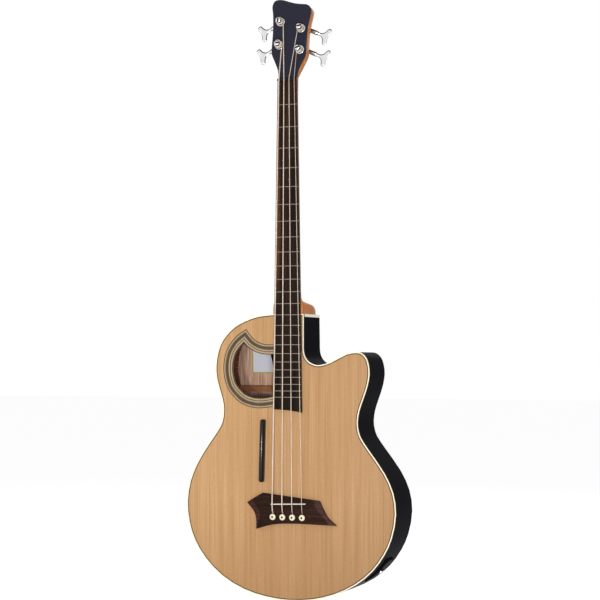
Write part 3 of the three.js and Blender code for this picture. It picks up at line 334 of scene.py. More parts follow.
# A lighter copy of the bridge wood: a painted highlight on the carved slopes.
BRIDGE_PAINTED_HIGHLIGHT = rosewood("bridge_carved", (84, 54, 46), (54, 31, 26), 0.46, (98, 64, 56), across=True)
SIDE_BLACK = (13, 13, 19)
BLACK = plain("black_gloss", SIDE_BLACK, 0.3, spec=0.002)
BACK_BLACK = plain("back_gloss", (24, 24, 31), 0.22, spec=0.14)
FACE = plain("headstock_black", (40, 40, 52), 0.42, spec=0.08)
SHINY = plain("thumbrest_black", (8, 8, 9), 0.14, spec=0.3)
CREAM = plain("binding_cream", (250, 240, 216), 0.34, coat=0.2)
BINDING = two_tone("binding_strip", (250, 238, 208), SIDE_BLACK, 1.3)
PINWHITE = plain("pin_cream", (236, 226, 194), 0.3, coat=0.35)
BONE = plain("saddle_bone", (238, 226, 205), 0.38)
DOT = plain("pin_dot", (16, 11, 9), 0.45, spec=0.06)
NUT = plain("nut_black", (26, 23, 23), 0.5, spec=0.1)
PURFLING = wood("purfling_wood", (74, 60, 38), (48, 38, 26), 500, 60, 0.6)
BAND = wood("rosette_band", (122, 100, 68), (88, 70, 44), 600, 70, 0.48)
BAND_DARK = wood("rosette_band_dark", (84, 65, 42), (54, 41, 25), 600, 70, 0.48)
PALE = wood("rosette_pale", (192, 170, 134), (170, 148, 114), 600, 70, 0.48)
# Painted shade: a dark ring at the hole's edge that stands in for the shaded inside of the box.
HOLE_PAINTED_SHADE = wood("rosette_hole_edge", (40, 22, 14), (24, 13, 9), 600, 70, 0.7)
PAPER = plain("label_paper", (216, 216, 226), 0.75)
OLIVE = plain("label_edge", (170, 160, 62), 0.75)
LINE = plain("line_inlay", (150, 136, 120), 0.5)
# Chrome and steel are painted darker at their edges and where they face up, as dark reflections. The second chrome is
# a painted dark reflection for the wings.
CHROME = brushed("chrome", (226, 226, 229), 0.16, edge=(38, 38, 42))
CHROME_PAINTED_REFLECTION = brushed("dark_chrome", (92, 92, 96), 0.2)
STEEL = brushed("steel", (150, 150, 154), 0.34, edge=(60, 60, 64))


# Meshes

SHARP = 32
BEVEL_ANGLE = 30


def build(name, verts, faces, mats, matrix=None, which=None, smooth=SHARP, body=ROOT, flip=False, slot=None, uv=None):
    """An object from points in millimetres and faces. which gives each face its material's place in mats."""
    mats = mats if isinstance(mats, (list, tuple)) else [mats]
    placed = [(matrix @ Vector(v)) if matrix else Vector(v) for v in verts]
    me = bpy.data.meshes.new(name)
    me.from_pydata([tuple(v * MM) for v in placed], [], [tuple(reversed(f)) if flip else tuple(f) for f in faces])
    for m in mats:
        me.materials.append(m)
    if which:
        me.polygons.foreach_set("material_index", which)
    if uv:
        layer = me.uv_layers.new(name="length")
        for loop in me.loops:
            layer.data[loop.index].uv = uv[loop.vertex_index]
    me.validate()
    me.update()
    me.shade_smooth()
    me.set_sharp_from_angle(angle=radians(smooth))
    o = bpy.data.objects.new(name, me)
    bpy.context.scene.collection.objects.link(o)
    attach(o, body)
    return o


def bevel(o, width, segments=2):
    m = o.modifiers.new("bevel", "BEVEL")
    m.width = width * MM
    m.segments = segments
    m.limit_method = "ANGLE"
    m.angle_limit = radians(BEVEL_ANGLE)
    m.harden_normals = True


def shifted(faces, verts):
    """The faces of a part that comes after verts in a longer list."""
    return [tuple(i + len(verts) for i in f) for f in faces]


def loft(rings, caps=True):
    n = len(rings[0])
    verts = [p for ring in rings for p in ring]
    faces = []
    for r in range(len(rings) - 1):
        for k in range(n):
            a, b = r * n + k, r * n + (k + 1) % n
            faces.append((a, b, b + n, a + n))
    if caps:
        faces.append(tuple(reversed(range(n))))
        faces.append(tuple(range((len(rings) - 1) * n, len(rings) * n)))
    return verts, faces


def lathe(profile, sides=48, closed=False):
    """A turned shape about +Y. Each place in the profile is a radius and a place along Y."""
    rings, verts, faces = [], [], []
    for radius, y in profile:
        if radius < 1e-6:
            rings.append([len(verts)])
            verts.append((0, y, 0))
        else:
            rings.append(list(range(len(verts), len(verts) + sides)))
            verts += [(radius * cos(2 * pi * k / sides), y, radius * sin(2 * pi * k / sides)) for k in range(sides)]
    pairs = list(zip(rings, rings[1:])) + ([(rings[-1], rings[0])] if closed else [])
    for a, b in pairs:
        for k in range(sides):
            j = (k + 1) % sides
            if len(a) == 1 and len(b) > 1:
                faces.append((a[0], b[k], b[j]))
            elif len(b) == 1 and len(a) > 1:
                faces.append((a[k], b[0], a[j]))
            elif len(a) > 1:
                faces.append((a[k], b[k], b[j], a[j]))
    return verts, faces


def fillet(profile, radius=0.5, steps=3, closed=False):
    """The same profile with its corners rounded."""
    out, n = [], len(profile)
    for i, p in enumerate(profile):
        if not closed and i in (0, n - 1):
            out.append(p)
            continue
        p = Vector(p)
        a, b = Vector(profile[i - 1]) - p, Vector(profile[(i + 1) % n]) - p
        reach = min(radius, a.length * 0.45, b.length * 0.45)
        a, b = p + a.normalized() * reach, p + b.normalized() * reach
        for k in range(steps + 1):
            t = k / steps
            q = a * (1 - t) ** 2 + p * 2 * t * (1 - t) + b * t**2
            out.append((q.x, q.y))
    return out


def tube(points, radius, sides=20):
    """A round tube, with UVs that carry the length along it and the share round it."""
    rings, uvs, run = [], [], 0.0
    across = Vector((1, 0, 0))
    for i, p in enumerate(points):
        along = (points[min(i + 1, len(points) - 1)] - points[max(i - 1, 0)]).normalized()
        across = (across - along * across.dot(along)).normalized()
        up = along.cross(across)
        run += (p - points[i - 1]).length if i else 0
        rings.append([p + across * radius * cos(2 * pi * k / sides) + up * radius * sin(2 * pi * k / sides)
                      for k in range(sides)])
        uvs += [(run, k / sides) for k in range(sides)]
    verts, faces = loft(rings)
    return verts, faces, uvs


def turn_into(name, material, profile, matrix, replaces, closed=False, flip=False, slot=None):
    """A turned piece in place of a carried-over node."""
    verts, faces = lathe(profile, closed=closed)
    o = build(name, verts, faces, material, matrix, flip=flip, slot=slot)
    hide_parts(replaces)


def face_out(o):
    """Turns a closed mesh's faces outward."""
    bm = bmesh.new()
    bm.from_mesh(o.data)
    bmesh.ops.recalc_face_normals(bm, faces=bm.faces)
    bm.to_mesh(o.data)
    bm.free()


def cut(o, cutter):
    """Takes one closed mesh from another, and removes the cutter."""
    m = o.modifiers.new("cut", "BOOLEAN")
    m.object = cutter
    m.solver = "EXACT"
    bpy.context.view_layer.update()
    made = bpy.data.meshes.new_from_object(o.evaluated_get(bpy.context.evaluated_depsgraph_get()))
    o.modifiers.clear()
    o.data = made
    made.shade_smooth()
    made.set_sharp_from_angle(angle=radians(SHARP))
    bpy.data.objects.remove(cutter)


def box(x0, x1, y0, y1, z0, z1):
    verts = [(x, y, z) for x in (x0, x1) for y in (y0, y1) for z in (z0, z1)]
    faces = [(0, 1, 3, 2), (4, 6, 7, 5), (0, 4, 5, 1), (2, 3, 7, 6), (0, 2, 6, 4), (1, 5, 7, 3)]
    return verts, faces


def box_in_mm(node):
    """A node's lowest and highest corner in millimetres."""
    return tuple(v * TO_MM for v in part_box(node))


# Outlines, read from the solids' own flat faces


def rings_on(node, on_face):
    """The closed rings round a node's flat face, largest first, as anticlockwise X and Z in millimetres."""
    me = nodes[node].data
    place = {v.index: (round(v.co.x * TO_MM, 3), round(v.co.z * TO_MM, 3)) for v in me.vertices if on_face(v.co / MM)}
    count = {}
    for p in me.polygons:
        if all(i in place for i in p.vertices):
            keys = [place[i] for i in p.vertices]
            for a, b in zip(keys, keys[1:] + keys[:1]):
                if (b, a) in count:
                    del count[(b, a)]
                else:
                    count[(a, b)] = True
    after = {}
    for a, b in count:
        after.setdefault(a, []).append(b)
    rings = []
    while after:
        first = next(iter(after))
        ring, at = [], first
        while at in after:
            ring.append(Vector(at))
            options = after[at]
            nxt = options.pop()
            if not options:
                del after[at]
            at = nxt
            if at == first:
                break
        area = sum(p.x * q.y - q.x * p.y for p, q in zip(ring, ring[1:] + ring[:1])) / 2
        rings.append((abs(area), ring if area > 0 else ring[::-1]))
    return [ring for _, ring in sorted(rings, key=lambda r: -r[0])]


def edge_distance(p, outline):
    best = 1e9
    for a, b in zip(outline, outline[1:] + outline[:1]):
        side = b - a
        t = max(0, min(1, (p - a).dot(side) / max(side.length_squared, 1e-12)))
        best = min(best, (p - a - side * t).length)
    return best


def inset(outline, distance, keep=False):
    """The outline moved inward. keep drops the points that would cross over, but never a sharp corner's."""
    out = []
    for i, p in enumerate(outline):
        a = (p - outline[i - 1]).normalized()
        b = (outline[(i + 1) % len(outline)] - p).normalized()
        normal = Vector((-a.y - b.y, a.x + b.x))
        q = p + normal * (distance / max(1 + a.dot(b), 0.2))
        if not keep or a.dot(b) < 0.6 or edge_distance(q, outline) > abs(distance) - 0.3:
            out.append(q)
    return out


def within(p, outline):
    inside = False
    for a, b in zip(outline, outline[1:] + outline[:1]):
        if (a.y > p.y) != (b.y > p.y) and p.x < (b.x - a.x) * (p.y - a.y) / (b.y - a.y) + a.x:
            inside = not inside
    return inside


def plate(outer, holes, front, back):
    """A flat piece's verts and faces. front and back give Y for an X and Z."""
    loops = [outer, *[h[::-1] for h in holes]]
    flatten = [[Vector((p.x, p.y, 0)) for p in loop] for loop in loops]
    points = [p for loop in loops for p in loop]
    n = len(points)
    verts = [(p.x, front(p.x, p.y), p.y) for p in points] + [(p.x, back(p.x, p.y), p.y) for p in points]
    faces = []
    for tri in tessellate_polygon(flatten):
        a, b, c = (points[i] for i in tri)
        turn = (b - a).cross(c - a)
        tri = tri if turn > 0 else tri[::-1]
        faces.append(tuple(tri))
        faces.append(tuple(i + n for i in reversed(tri)))
    start = 0
    for loop in loops:
        m = len(loop)
        for k in range(m):
            a, b = start + k, start + (k + 1) % m
            faces.append((b, a, a + n, b + n))
        start += m
    return verts, faces


def flat(y):
    return lambda x, z: y


ON_FACE = 0.05
NECK_JOINT = max(v.co.z for v in nodes["binding_front"].data.vertices) * -TO_MM
TAIL = min(v.co.z for v in nodes["binding_front"].data.vertices) * TO_MM
BODY_LENGTH = -TAIL - NECK_JOINT
DEPTH_AT_NECK = 94
DEPTH_GAIN = 24
BODY = rings_on("binding_front", lambda p: abs(p.y) < ON_FACE)[0]


def back_plane(x, z):
    return DEPTH_AT_NECK + DEPTH_GAIN * (-z - NECK_JOINT) / BODY_LENGTH


def behind_back(depth):
    return lambda x, z: back_plane(x, z) - depth


# Carried-over solids

WELD = 0.00001


def dress(node, material, edge=0.0, smooth=SHARP, segments=2):
    """Gives a carried-over solid its material, and rounds its sharp edges by edge millimetres."""
    o = nodes[node]
    o.data.materials.clear()
    for m in material if isinstance(material, (list, tuple)) else [material]:
        o.data.materials.append(m)
    o.data.shade_smooth()
    o.data.set_sharp_from_angle(angle=radians(smooth))
    w = o.modifiers.new("weld", "WELD")
    w.merge_threshold = WELD
    if edge:
        bevel(o, edge, segments)
    else:
        split = o.modifiers.new("split", "EDGE_SPLIT")
        split.split_angle = radians(smooth)
    return o


def split_faces(node, inside, outer, inner):
    """Gives a solid's faces one of two materials, by where each face's middle lies and the way it faces."""
    o = dress(node, [outer, inner])
    for p in o.data.polygons:
        p.material_index = 1 if inside(p.center / MM, p.normal) else 0


MID_RIM = 1.4
mid_rim = inset(BODY, MID_RIM)

dress("soundboard", SPRUCE)
# Inside faces: the back's get the painted light, the sides' the painted shade.
split_faces("back_plate", lambda c, n: n.y < -0.5, BACK_BLACK, INNER_PAINTED_LIGHT)
split_faces("side_rim", lambda c, n: abs(n.y) < 0.5 and within(Vector((c.x, c.z)), mid_rim), BLACK, SIDE_WALL_PAINTED_SHADE)
dress("binding_front", BINDING)
dress("binding_back", BLACK)
dress("neck_block", BLOCK, 0.8)
dress("tail_block", BLOCK, 0.8)
dress("cross_brace", BARE_SPRUCE, 1.6, segments=3)
for name in ("back_brace_upper", "back_brace_middle", "back_brace_lower"):
    dress(name, BLOCK, 1.6, segments=3)
dress("bridge_plate", BLOCK, 0.4)
dress("label", PAPER)
dress("neck", NECK, 0.5, smooth=40)
dress("fingerboard", BOARD, 0.25)
dress("nut", NUT, 0.25)
dress("headstock_veneer", FACE)
dress("truss_rod", STEEL)
dress("neck_bolt_front", STEEL, 0.4)
dress("neck_bolt_back", STEEL, 0.4)
# Only the bridge's carved slopes face the front at an angle. They get a lighter wood as a painted highlight.
split_faces("bridge", lambda c, n: -0.995 < n.y < -0.5, BRIDGE, BRIDGE_PAINTED_HIGHLIGHT)
dress("saddle_pickup", STEEL)
dress("jack_plate", BLACK, 0.5)
dress("jack", CHROME, 0.3)

# A dark line just inside the front binding

PURFLING_IN, PURFLING_WIDTH = 2.3, 2.0
PROUD = 0.04
line_edges = inset(BODY, PURFLING_IN), inset(BODY, PURFLING_IN + PURFLING_WIDTH)
verts, faces = plate(line_edges[0], [line_edges[1]], flat(-PROUD), flat(PROUD))
build("purfling_front", verts, faces, PURFLING, slot="rosette_wood")

# Rosette: bands from its outer edge to the hole. The innermost band is a dark ring of painted shade.

BAND_STEPS = [1.5, 4.1, 6.0, 9.9, 11.7, 14.4, 15.9, 19.5]
BAND_LOOKS = [PURFLING, PALE, BAND, BAND_DARK, BAND, PALE, PURFLING, PALE, HOLE_PAINTED_SHADE]
BAND_DEPTH = 1
outer_edge, hole_edge = rings_on("rosette", lambda p: abs(p.y) < ON_FACE)[:2]
edges = [outer_edge] + [inset(outer_edge, step, keep=True) for step in BAND_STEPS] + [hole_edge]
verts, faces, which = [], [], []
for i, (outer, inner) in enumerate(zip(edges, edges[1:])):
    v, f = plate(outer, [inner], flat(0), flat(BAND_DEPTH))
    faces += shifted(f, verts)
    verts += v
    which += [i] * len(f)
rosette = build("rosette_bands", verts, faces, BAND_LOOKS, which=which, slot="rosette_wood")
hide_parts("rosette")

# Linings: short blocks side by side, with saw cuts between them and a thin strip behind them

LINING_STEP, SAW_CUT = 6.2, 0.9
LINING_IN = 3.1
LINING_SHAPE = ((0.15, 0), (7.9, 0), (7.9, 0.3), (2.2, 1), (0.15, 1))
LINING_STRIP = (3.15, 4.3)
LINING_FROM, LINING_TO = 3.35, 17.2


def along(outline, step):
    """Places at equal steps round an outline, with the way along it."""
    total = sum((b - a).length for a, b in zip(outline, outline[1:] + outline[:1]))
    count = int(total / step)
    spacing, run, at, out = total / count, 0.0, 0.0, []
    for a, b in zip(outline, outline[1:] + outline[:1]):
        length = (b - a).length
        while at < run + length - 1e-9 and len(out) < count:
            out.append((a.lerp(b, (at - run) / length), (b - a).normalized()))
            at += spacing
        run += length
    return out


def lining(name, node, front, back, taper_front):
    """LINING_SHAPE is a block's section: how far it reaches from the rim, and at what share of its depth."""
    n = len(LINING_SHAPE)
    sides = [(k, (k + 1) % n, (k + 1) % n + n, k + n) for k in range(n)]
    order = [tuple(reversed(range(n))), tuple(range(n, 2 * n))] + sides
    verts, faces = [], []
    for p, way in along(inset(BODY, LINING_IN), LINING_STEP):
        across = Vector((-way.y, way.x))
        half = way * (LINING_STEP - SAW_CUT) / 2
        block = []
        for end in (-1, 1):
            for reach, deep in LINING_SHAPE:
                q = p + half * end + across * reach
                y0, y1 = front(q.x, q.y), back(q.x, q.y)
                share = 1 - deep if taper_front else deep
                block.append((q.x, y0 + (y1 - y0) * share, q.y))
        faces += shifted(order, verts)
        verts += block
    strip_out, strip_in = (inset(BODY, distance) for distance in LINING_STRIP)
    thin = plate(strip_out, [strip_in], front, back)
    faces += shifted(thin[1], verts)
    verts += thin[0]
    o = build(name, verts, faces, LINING, slot="inner_wood")
    face_out(o)
    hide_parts(node)


lining("kerfed_lining_front", "lining_front", flat(LINING_FROM), flat(LINING_TO), False)
lining("kerfed_lining_back", "lining_back", behind_back(LINING_TO), behind_back(LINING_FROM), True)

# Label: a bare sheet with a narrow edge

LABEL_EDGE = 2.6
LABEL_FACE, LABEL_UNDER = 3.78, 3.7
low, high = box_in_mm("label")
sheet = [Vector(p) for p in ((low.x, low.z), (high.x, low.z), (high.x, high.z), (low.x, high.z))]
verts, faces = plate(sheet, [inset(sheet, LABEL_EDGE, keep=True)], behind_back(LABEL_FACE), behind_back(LABEL_UNDER))
build("label_border", verts, faces, OLIVE, slot="label_paper")

# Lines across the board, and down its edges

SCALE = 863.6
BOARD_RADIUS = 400
BOARD_TOP = 7.3
NUT_HALF = 20.8
LAST_HALF = 31.1
LAST = SCALE * 0.75
LINES = 24
LINE_HALF = 0.5
LINE_PROUD = 0.03
LINE_PARTS = 16
LINE_LOW = 4.6
LINE_REACH, LINE_EDGE = 0.998, 1.0006


def half_board(z):
    return NUT_HALF + (LAST_HALF - NUT_HALF) * -z / LAST


def board_face(x, proud=0.0):
    """Y of the crowned board at X."""
    return -BOARD_TOP - proud + BOARD_RADIUS - math.sqrt(BOARD_RADIUS**2 - x**2)


verts, faces = [], []
for n in range(1, LINES + 1):
    z = -SCALE * (1 - 2 ** (-n / 12))
    z0, z1 = z - LINE_HALF, z + LINE_HALF
    faces += shifted([(2 * k, 2 * k + 2, 2 * k + 3, 2 * k + 1) for k in range(LINE_PARTS)], verts)
    for k in range(LINE_PARTS + 1):
        x = half_board(z) * (2 * k / LINE_PARTS - 1) * LINE_REACH
        y = board_face(x, LINE_PROUD)
        verts += [(x, y, z0), (x, y, z1)]
    for side, order in ((-1, (3, 2, 1, 0)), (1, (0, 1, 2, 3))):
        x = half_board(z) * side * LINE_EDGE
        y = board_face(x)
        faces += shifted([order], verts)
        verts += [(x, y, z0), (x, y, z1), (x, -LINE_LOW, z1), (x, -LINE_LOW, z0)]
build("board_lines", verts, faces, LINE, slot="pin_and_saddle")

# Headstock: its square back corners run out into the round neck

HEAD_START, HEAD_TILT = 5.8, 9
HEAD = Matrix.Translation((0, 0, HEAD_START)) @ Matrix.Rotation(radians(-HEAD_TILT), 4, "X")
ROOT_FRONT = 0.3
ROOT_PARTS = 48
ROOT_RINGS = [(4, 21.1, 14.65, 0.56), (6.5, 21.5, 15.1, 0.44), (9.5, 21.86, 15.66, 0.33), (12.5, 22.2, 15.9, 0.22),
              (15.5, 22.5, 15.9, 0.12), (18.2, 22.95, 15.9, 0.05)]


def arch(z, half, depth, squareness):
    """A closed section of the neck in the headstock's frame, from a half round to a square with squareness near 0."""
    out = []
    for k in range(ROOT_PARTS + 1):
        c, s = cos(pi * k / ROOT_PARTS), max(sin(pi * k / ROOT_PARTS), 0)
        x = -half * math.copysign(abs(c) ** squareness, c)
        out.append(HEAD @ Vector((x, ROOT_FRONT + (depth - ROOT_FRONT) * s**squareness, z)))
    return out


verts, faces = loft([arch(*ring) for ring in ROOT_RINGS])
face_out(build("headstock_root", verts, faces, NECK, slot="neck_wood", smooth=40))

# Strings

HEAD_LENGTH = 170
FRONT = 3.8
POST_X = 22.9
POST_RADIUS, POST_GAP = 5, 0.45
NUT_SPACING, NUT_TOP = 11.1, 8
NUT_LENGTH, NUT_DOWN = 5, 4.7
BRIDGE_SPACING, BRIDGE_ASIDE, BRIDGE_TOP = 21.45, 1.6, 7.9
SADDLE_Z, SADDLE_TOP, SADDLE_HALF = -SCALE, 10.6, 1.5
SADDLE_LENGTH, SADDLE_MIDDLE, SADDLE_SLANT = 76, 3.4, 2.4
PIN_Z = SADDLE_Z - 29.8
START_Z, START_DEPTH = PIN_Z + 3.7, 2.9
RISE_Z, RISE_HEIGHT, RISE_SLOPE = PIN_Z + 6, BRIDGE_TOP - 2.6, 0.7
CLEAR = 0.3
SADDLE_CLEAR = 0.1
TURN_GAP = 0.6
RUN_IN = 9
WRAP, WRAP_PARTS = radians(240), 40
TURN_PARTS = 48
BEND, BEND_PARTS = 0.75, 12
THICK, THICK_PITCH, THIN_PITCH = 1, 0.42, 0.32
STRING_COLOR = (234, 219, 202)
TILT = radians(24.3)


def saddle_at(x):
    return SADDLE_Z - SADDLE_SLANT * (0.5 - (x - SADDLE_MIDDLE) / SADDLE_LENGTH) - SADDLE_HALF


def soften(points):
    """One round of corner cutting, with the ends kept."""
    out = [points[0]]
    for a, b in zip(points, points[1:]):
        out += [a.lerp(b, 0.2), a.lerp(b, 0.8)]
    return out + [points[-1]]


class Course:
    """One string with its post. Angles run round the post as on the treble side, in the headstock's frame.

    hand is -1 on the bass side, turns are those of the winding, and up is the post's share of the headstock.
    """

    def __init__(self, order, name, gauge, hand, turns, up):
        self.name, self.gauge, self.hand, self.turns = name, gauge, hand, turns
        self.r = gauge / 2
        self.up = up * HEAD_LENGTH
        self.nut_x, self.bridge_x = order * NUT_SPACING, BRIDGE_ASIDE + order * BRIDGE_SPACING
        self.reach = POST_RADIUS + POST_GAP + self.r
        self.pitch = gauge + TURN_GAP
        self.y = -(FRONT + CLEAR + self.r)
        nut = Vector((hand * self.nut_x - POST_X, -NUT_DOWN - self.up))
        self.touch = math.atan2(nut.y, nut.x) % (2 * pi) - math.acos(self.reach / nut.length)
        self.sweep = 2 * pi * turns
        self.begin = self.touch - WRAP
        self.tail = self.begin - self.sweep
        self.bend = gauge * BEND
        self.past = math.asin(self.bend / (self.reach - self.bend))
        self.flip = hand < 0
        mirror = Matrix.Scale(-1, 4, (1, 0, 0)) if self.flip else Matrix.Identity(4)
        lean = Matrix.Rotation(hand * TILT, 4, "Y")
        self.spot = HEAD @ Matrix.Translation((hand * POST_X, 0, self.up)) @ lean @ mirror
        ridges = THICK_PITCH if self.r > THICK else THIN_PITCH
        self.shine = wound(f"string_metal_{name}", STRING_COLOR, ridges)

    def place(self, angle, y, out=None):
        """A point at an angle round the post, on the string's own circle or at another distance."""
        out = self.reach if out is None else out
        return Vector((self.hand * (POST_X + out * cos(angle)), y, self.up + out * sin(angle)))

    def onward(self, angle):
        return Vector((self.hand * sin(angle), 0, -cos(angle)))

    def part(self, name, verts, faces, look, matrix=None, **more):
        """A piece of this tuner, mirrored on the bass side."""
        matrix = matrix or self.spot
        return build(f"{name}_{self.name}", verts, faces, look, matrix, flip=self.flip, slot="chrome", **more)


def string(s):
    """From its pin over saddle and nut, and two thirds of the way round its post."""
    x, r = s.bridge_x, s.r
    rise_end = RISE_Z + (RISE_HEIGHT + 2 * r) * RISE_SLOPE
    over_saddle, over_nut = -(SADDLE_TOP + SADDLE_CLEAR + r), -(NUT_TOP + CLEAR + r)
    path = [
        Vector((x, -(START_DEPTH + r), START_Z)),
        Vector((x, -(START_DEPTH + r), RISE_Z)),
        Vector((x, -(BRIDGE_TOP + CLEAR + r), rise_end - r)),
        Vector((x, over_saddle, saddle_at(x) - SADDLE_HALF)),
        Vector((x, over_saddle, saddle_at(x) + SADDLE_HALF)),
        Vector((s.nut_x, over_nut, 0)),
        Vector((s.nut_x, over_nut, NUT_LENGTH)),
    ]
    turn = [HEAD @ (s.place(s.touch, s.y) - s.onward(s.touch) * RUN_IN)]
    turn += [HEAD @ s.place(s.touch - WRAP * k / WRAP_PARTS, s.y) for k in range(WRAP_PARTS + 1)]
    verts, faces, uvs = tube(soften(path + turn[:1]) + turn[1:], r)
    o = build(f"string_wound_{s.name}", verts, faces, s.shine, uv=uvs, slot="string_metal")
    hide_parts(f"string_{s.name}")


def winding(s):
    """The turns that the post carries. Their end bends into the slot in the post."""
    bottom = s.y - s.pitch
    count = round(TURN_PARTS * s.turns)
    loop = [s.place(s.begin - s.sweep * k / count, bottom - s.pitch * s.turns * k / count) for k in range(count + 1)]
    top = bottom - s.pitch * s.turns
    corner = []
    for k in range(1, BEND_PARTS + 1):
        angle = k / BEND_PARTS * (pi / 2 + s.past)
        nearer = s.place(s.tail, top, s.reach - s.bend * (1 - cos(angle)))
        corner.append(nearer + s.onward(s.tail) * s.bend * sin(angle))
    inward = s.place(s.tail - s.past, top, 0) - s.place(s.tail - s.past, top, 1)
    points = [loop[0] - s.onward(s.begin) * s.gauge] + loop + corner + [corner[-1] + inward * s.gauge]
    verts, faces, uvs = tube(points, s.r)
    o = build(f"winding_wound_{s.name}", verts, faces, s.shine, HEAD, uv=uvs, body=f"post_{s.name}",
              slot="string_metal")
    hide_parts(f"winding_{s.name}")


# Tuners: Y runs back through the headstock. Each worm and its key's shaft run along X.

MODULE, TEETH = 0.66, 14
AXIAL_PITCH = pi * MODULE
GEAR_RADIUS, WORM_RADIUS = 4.62, 2.5
ADDENDUM, DEDENDUM = 0.52, 0.68
GEAR_ROOT, GEAR_TIP = 3.94, 5.14
WORM_ROOT, WORM_TIP = 1.6, 3.02
BACKLASH = 0.44
FLANK = tan(radians(22))
TOOTH = (AXIAL_PITCH - BACKLASH) / 2
TOOTH_TIP, TOOTH_ROOT = TOOTH - 2 * ADDENDUM * FLANK, TOOTH + 2 * DEDENDUM * FLANK
GEAR_Y, GEAR_HALF = 21.2, 2.25
WORM_HALF, WORM_PARTS = 3.4, 28
HOUSING_SIDE = GEAR_RADIUS + ADDENDUM + 0.46
HOUSING_WALL = HOUSING_SIDE + 1.8
RIM_Y = -2.3
POST_TOP = -FRONT - 15.4
SLOT_HALF, SLOT_REACH, SLOT_ABOVE, SLOT_DEPTH = 1.8, 9, 4, 8
WING_HALF = [(0, .17), (.13, .165), (.26, .20), (.36, .27), (.44, .36), (.51, .49), (.56, .64), (.60, .80), (.64, .91),
             (.70, .975), (.77, 1), (.85, .985), (.92, .94), (.97, .86), (.99, .77), (.985, .66), (.965, .54),
             (.935, .40), (.905, .26), (.885, .12)]
WING_START, WING_REACH, WING_WIDTH, WING_FORK = 30, 26, 18, 0.88
WING_LAYERS = [(0, 0.3), (0.4, 0.9), (1.4, 1.4), (2.3, 1.6)]
WING_SHADED = -0.36


def ferrule(s):
    """The ring on the headstock's front that the post runs through."""
    profile = [(6.2, RIM_Y - 1.5), (8.6, RIM_Y - 1.5), (9.4, RIM_Y - 0.7), (9.4, RIM_Y), (7.4, RIM_Y),
               (7.4, RIM_Y + 11), (6.2, RIM_Y + 11)]
    turn_into(f"ferrule_{s.name}", CHROME, fillet(profile, 0.35, closed=True), s.spot, f"tuner_ferrule_{s.name}",
              closed=True, flip=s.flip, slot="chrome")


def post(s):
    """The post with its slot, and the gear on it."""
    pivot = GEAR_Y + (GEAR_RADIUS + ADDENDUM) - (WORM_RADIUS + ADDENDUM) + WORM_RADIUS
    top = POST_TOP
    profile = [(0, top), (4.2, top), (5.1, top + 0.35), (5.7, top + 0.8), (5.7, top + 1.2), (5.3, top + 1.7),
               (5.0, top + 2.3), (5.0, -3.9), (5.9, -3.2), (5.9, 16.3), (3.5, 16.3), (3.5, GEAR_Y + 2.3),
               (2.6, GEAR_Y + 2.3), (2.6, pivot), (0, pivot)]
    verts, faces = lathe(fillet(profile, 0.25))
    o = s.part("post", verts, faces, CHROME, body=f"post_{s.name}")
    gear(s)
    verts, faces = box(-SLOT_REACH, SLOT_REACH, top - SLOT_ABOVE, top + SLOT_DEPTH, -SLOT_HALF, SLOT_HALF)
    slot_angle = s.tail - s.past + TILT
    slot_turn = s.spot @ Matrix.Rotation(-slot_angle, 4, "Y")
    cut(o, build("cutter", verts, faces, CHROME, slot_turn, flip=s.flip))
    bevel(o, 0.15)
    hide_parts(f"tuner_post_{s.name}")


def gear(s):
    """Teeth that slant as the worm's thread does."""
    teeth = []
    for t in range(TEETH):
        middle = -pi / 2 + 2 * pi * (t + 0.5) / TEETH
        for radius, width in ((GEAR_ROOT, -TOOTH_ROOT), (GEAR_TIP, -TOOTH_TIP), (GEAR_TIP, TOOTH_TIP),
                              (GEAR_ROOT, TOOTH_ROOT)):
            a = middle + width / 2 / radius
            teeth.append(Vector((radius * cos(a), radius * sin(a))))
    verts, faces = plate(teeth, [], flat(GEAR_Y - GEAR_HALF), flat(GEAR_Y + GEAR_HALF))
    lead = AXIAL_PITCH / (2 * pi * WORM_RADIUS * GEAR_RADIUS)
    verts = [Matrix.Rotation(lead * (v[1] - GEAR_Y), 3, "Y") @ Vector(v) for v in verts]
    s.part("gear", verts, faces, STEEL, body=f"post_{s.name}")


def key(s):
    """The key's shaft, the thread on it, and a wing that forks outward."""
    around = s.spot @ Matrix.Translation((0, GEAR_Y, GEAR_RADIUS + WORM_RADIUS))
    side, wall = HOUSING_SIDE, HOUSING_WALL
    shaft = fillet([(0, 0.3 - side), (1.82, 0.3 - side), (1.82, 4.0), (3.3, 4.0), (3.3, wall + 0.3), (4.2, wall + 0.3),
                    (4.6, wall + 1.6), (4.6, 26.2), (4.1, 27.4), (3.4, 28.4), (3.2, 30.5), (2.1, 34), (0, 37)], 0.5)
    verts, faces = lathe(shaft)
    o = s.part("key", verts, faces, CHROME, around @ Matrix.Rotation(radians(-90), 4, "Z"), body=f"key_{s.name}")
    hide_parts(f"tuner_key_{s.name}")
    worm(s, around)
    wing(s, around)


def worm(s, around):
    """The thread, as one ridge that runs round the shaft."""
    turns = 2 * WORM_HALF / AXIAL_PITCH - TOOTH_ROOT / AXIAL_PITCH
    count = round(turns * WORM_PARTS)
    ridges = []
    for k in range(count + 1):
        t = turns * (k / count - 0.5)
        angle = -pi / 2 + 2 * pi * t
        ridges.append([Vector((AXIAL_PITCH * t + width / 2, radius * cos(angle), radius * sin(angle)))
                       for radius, width in ((WORM_ROOT, -TOOTH_ROOT), (WORM_TIP, -TOOTH_TIP), (WORM_TIP, TOOTH_TIP),
                                             (WORM_ROOT, TOOTH_ROOT))])
    verts, faces = loft(ridges)
    s.part("worm", verts, faces, STEEL, around, body=f"key_{s.name}")


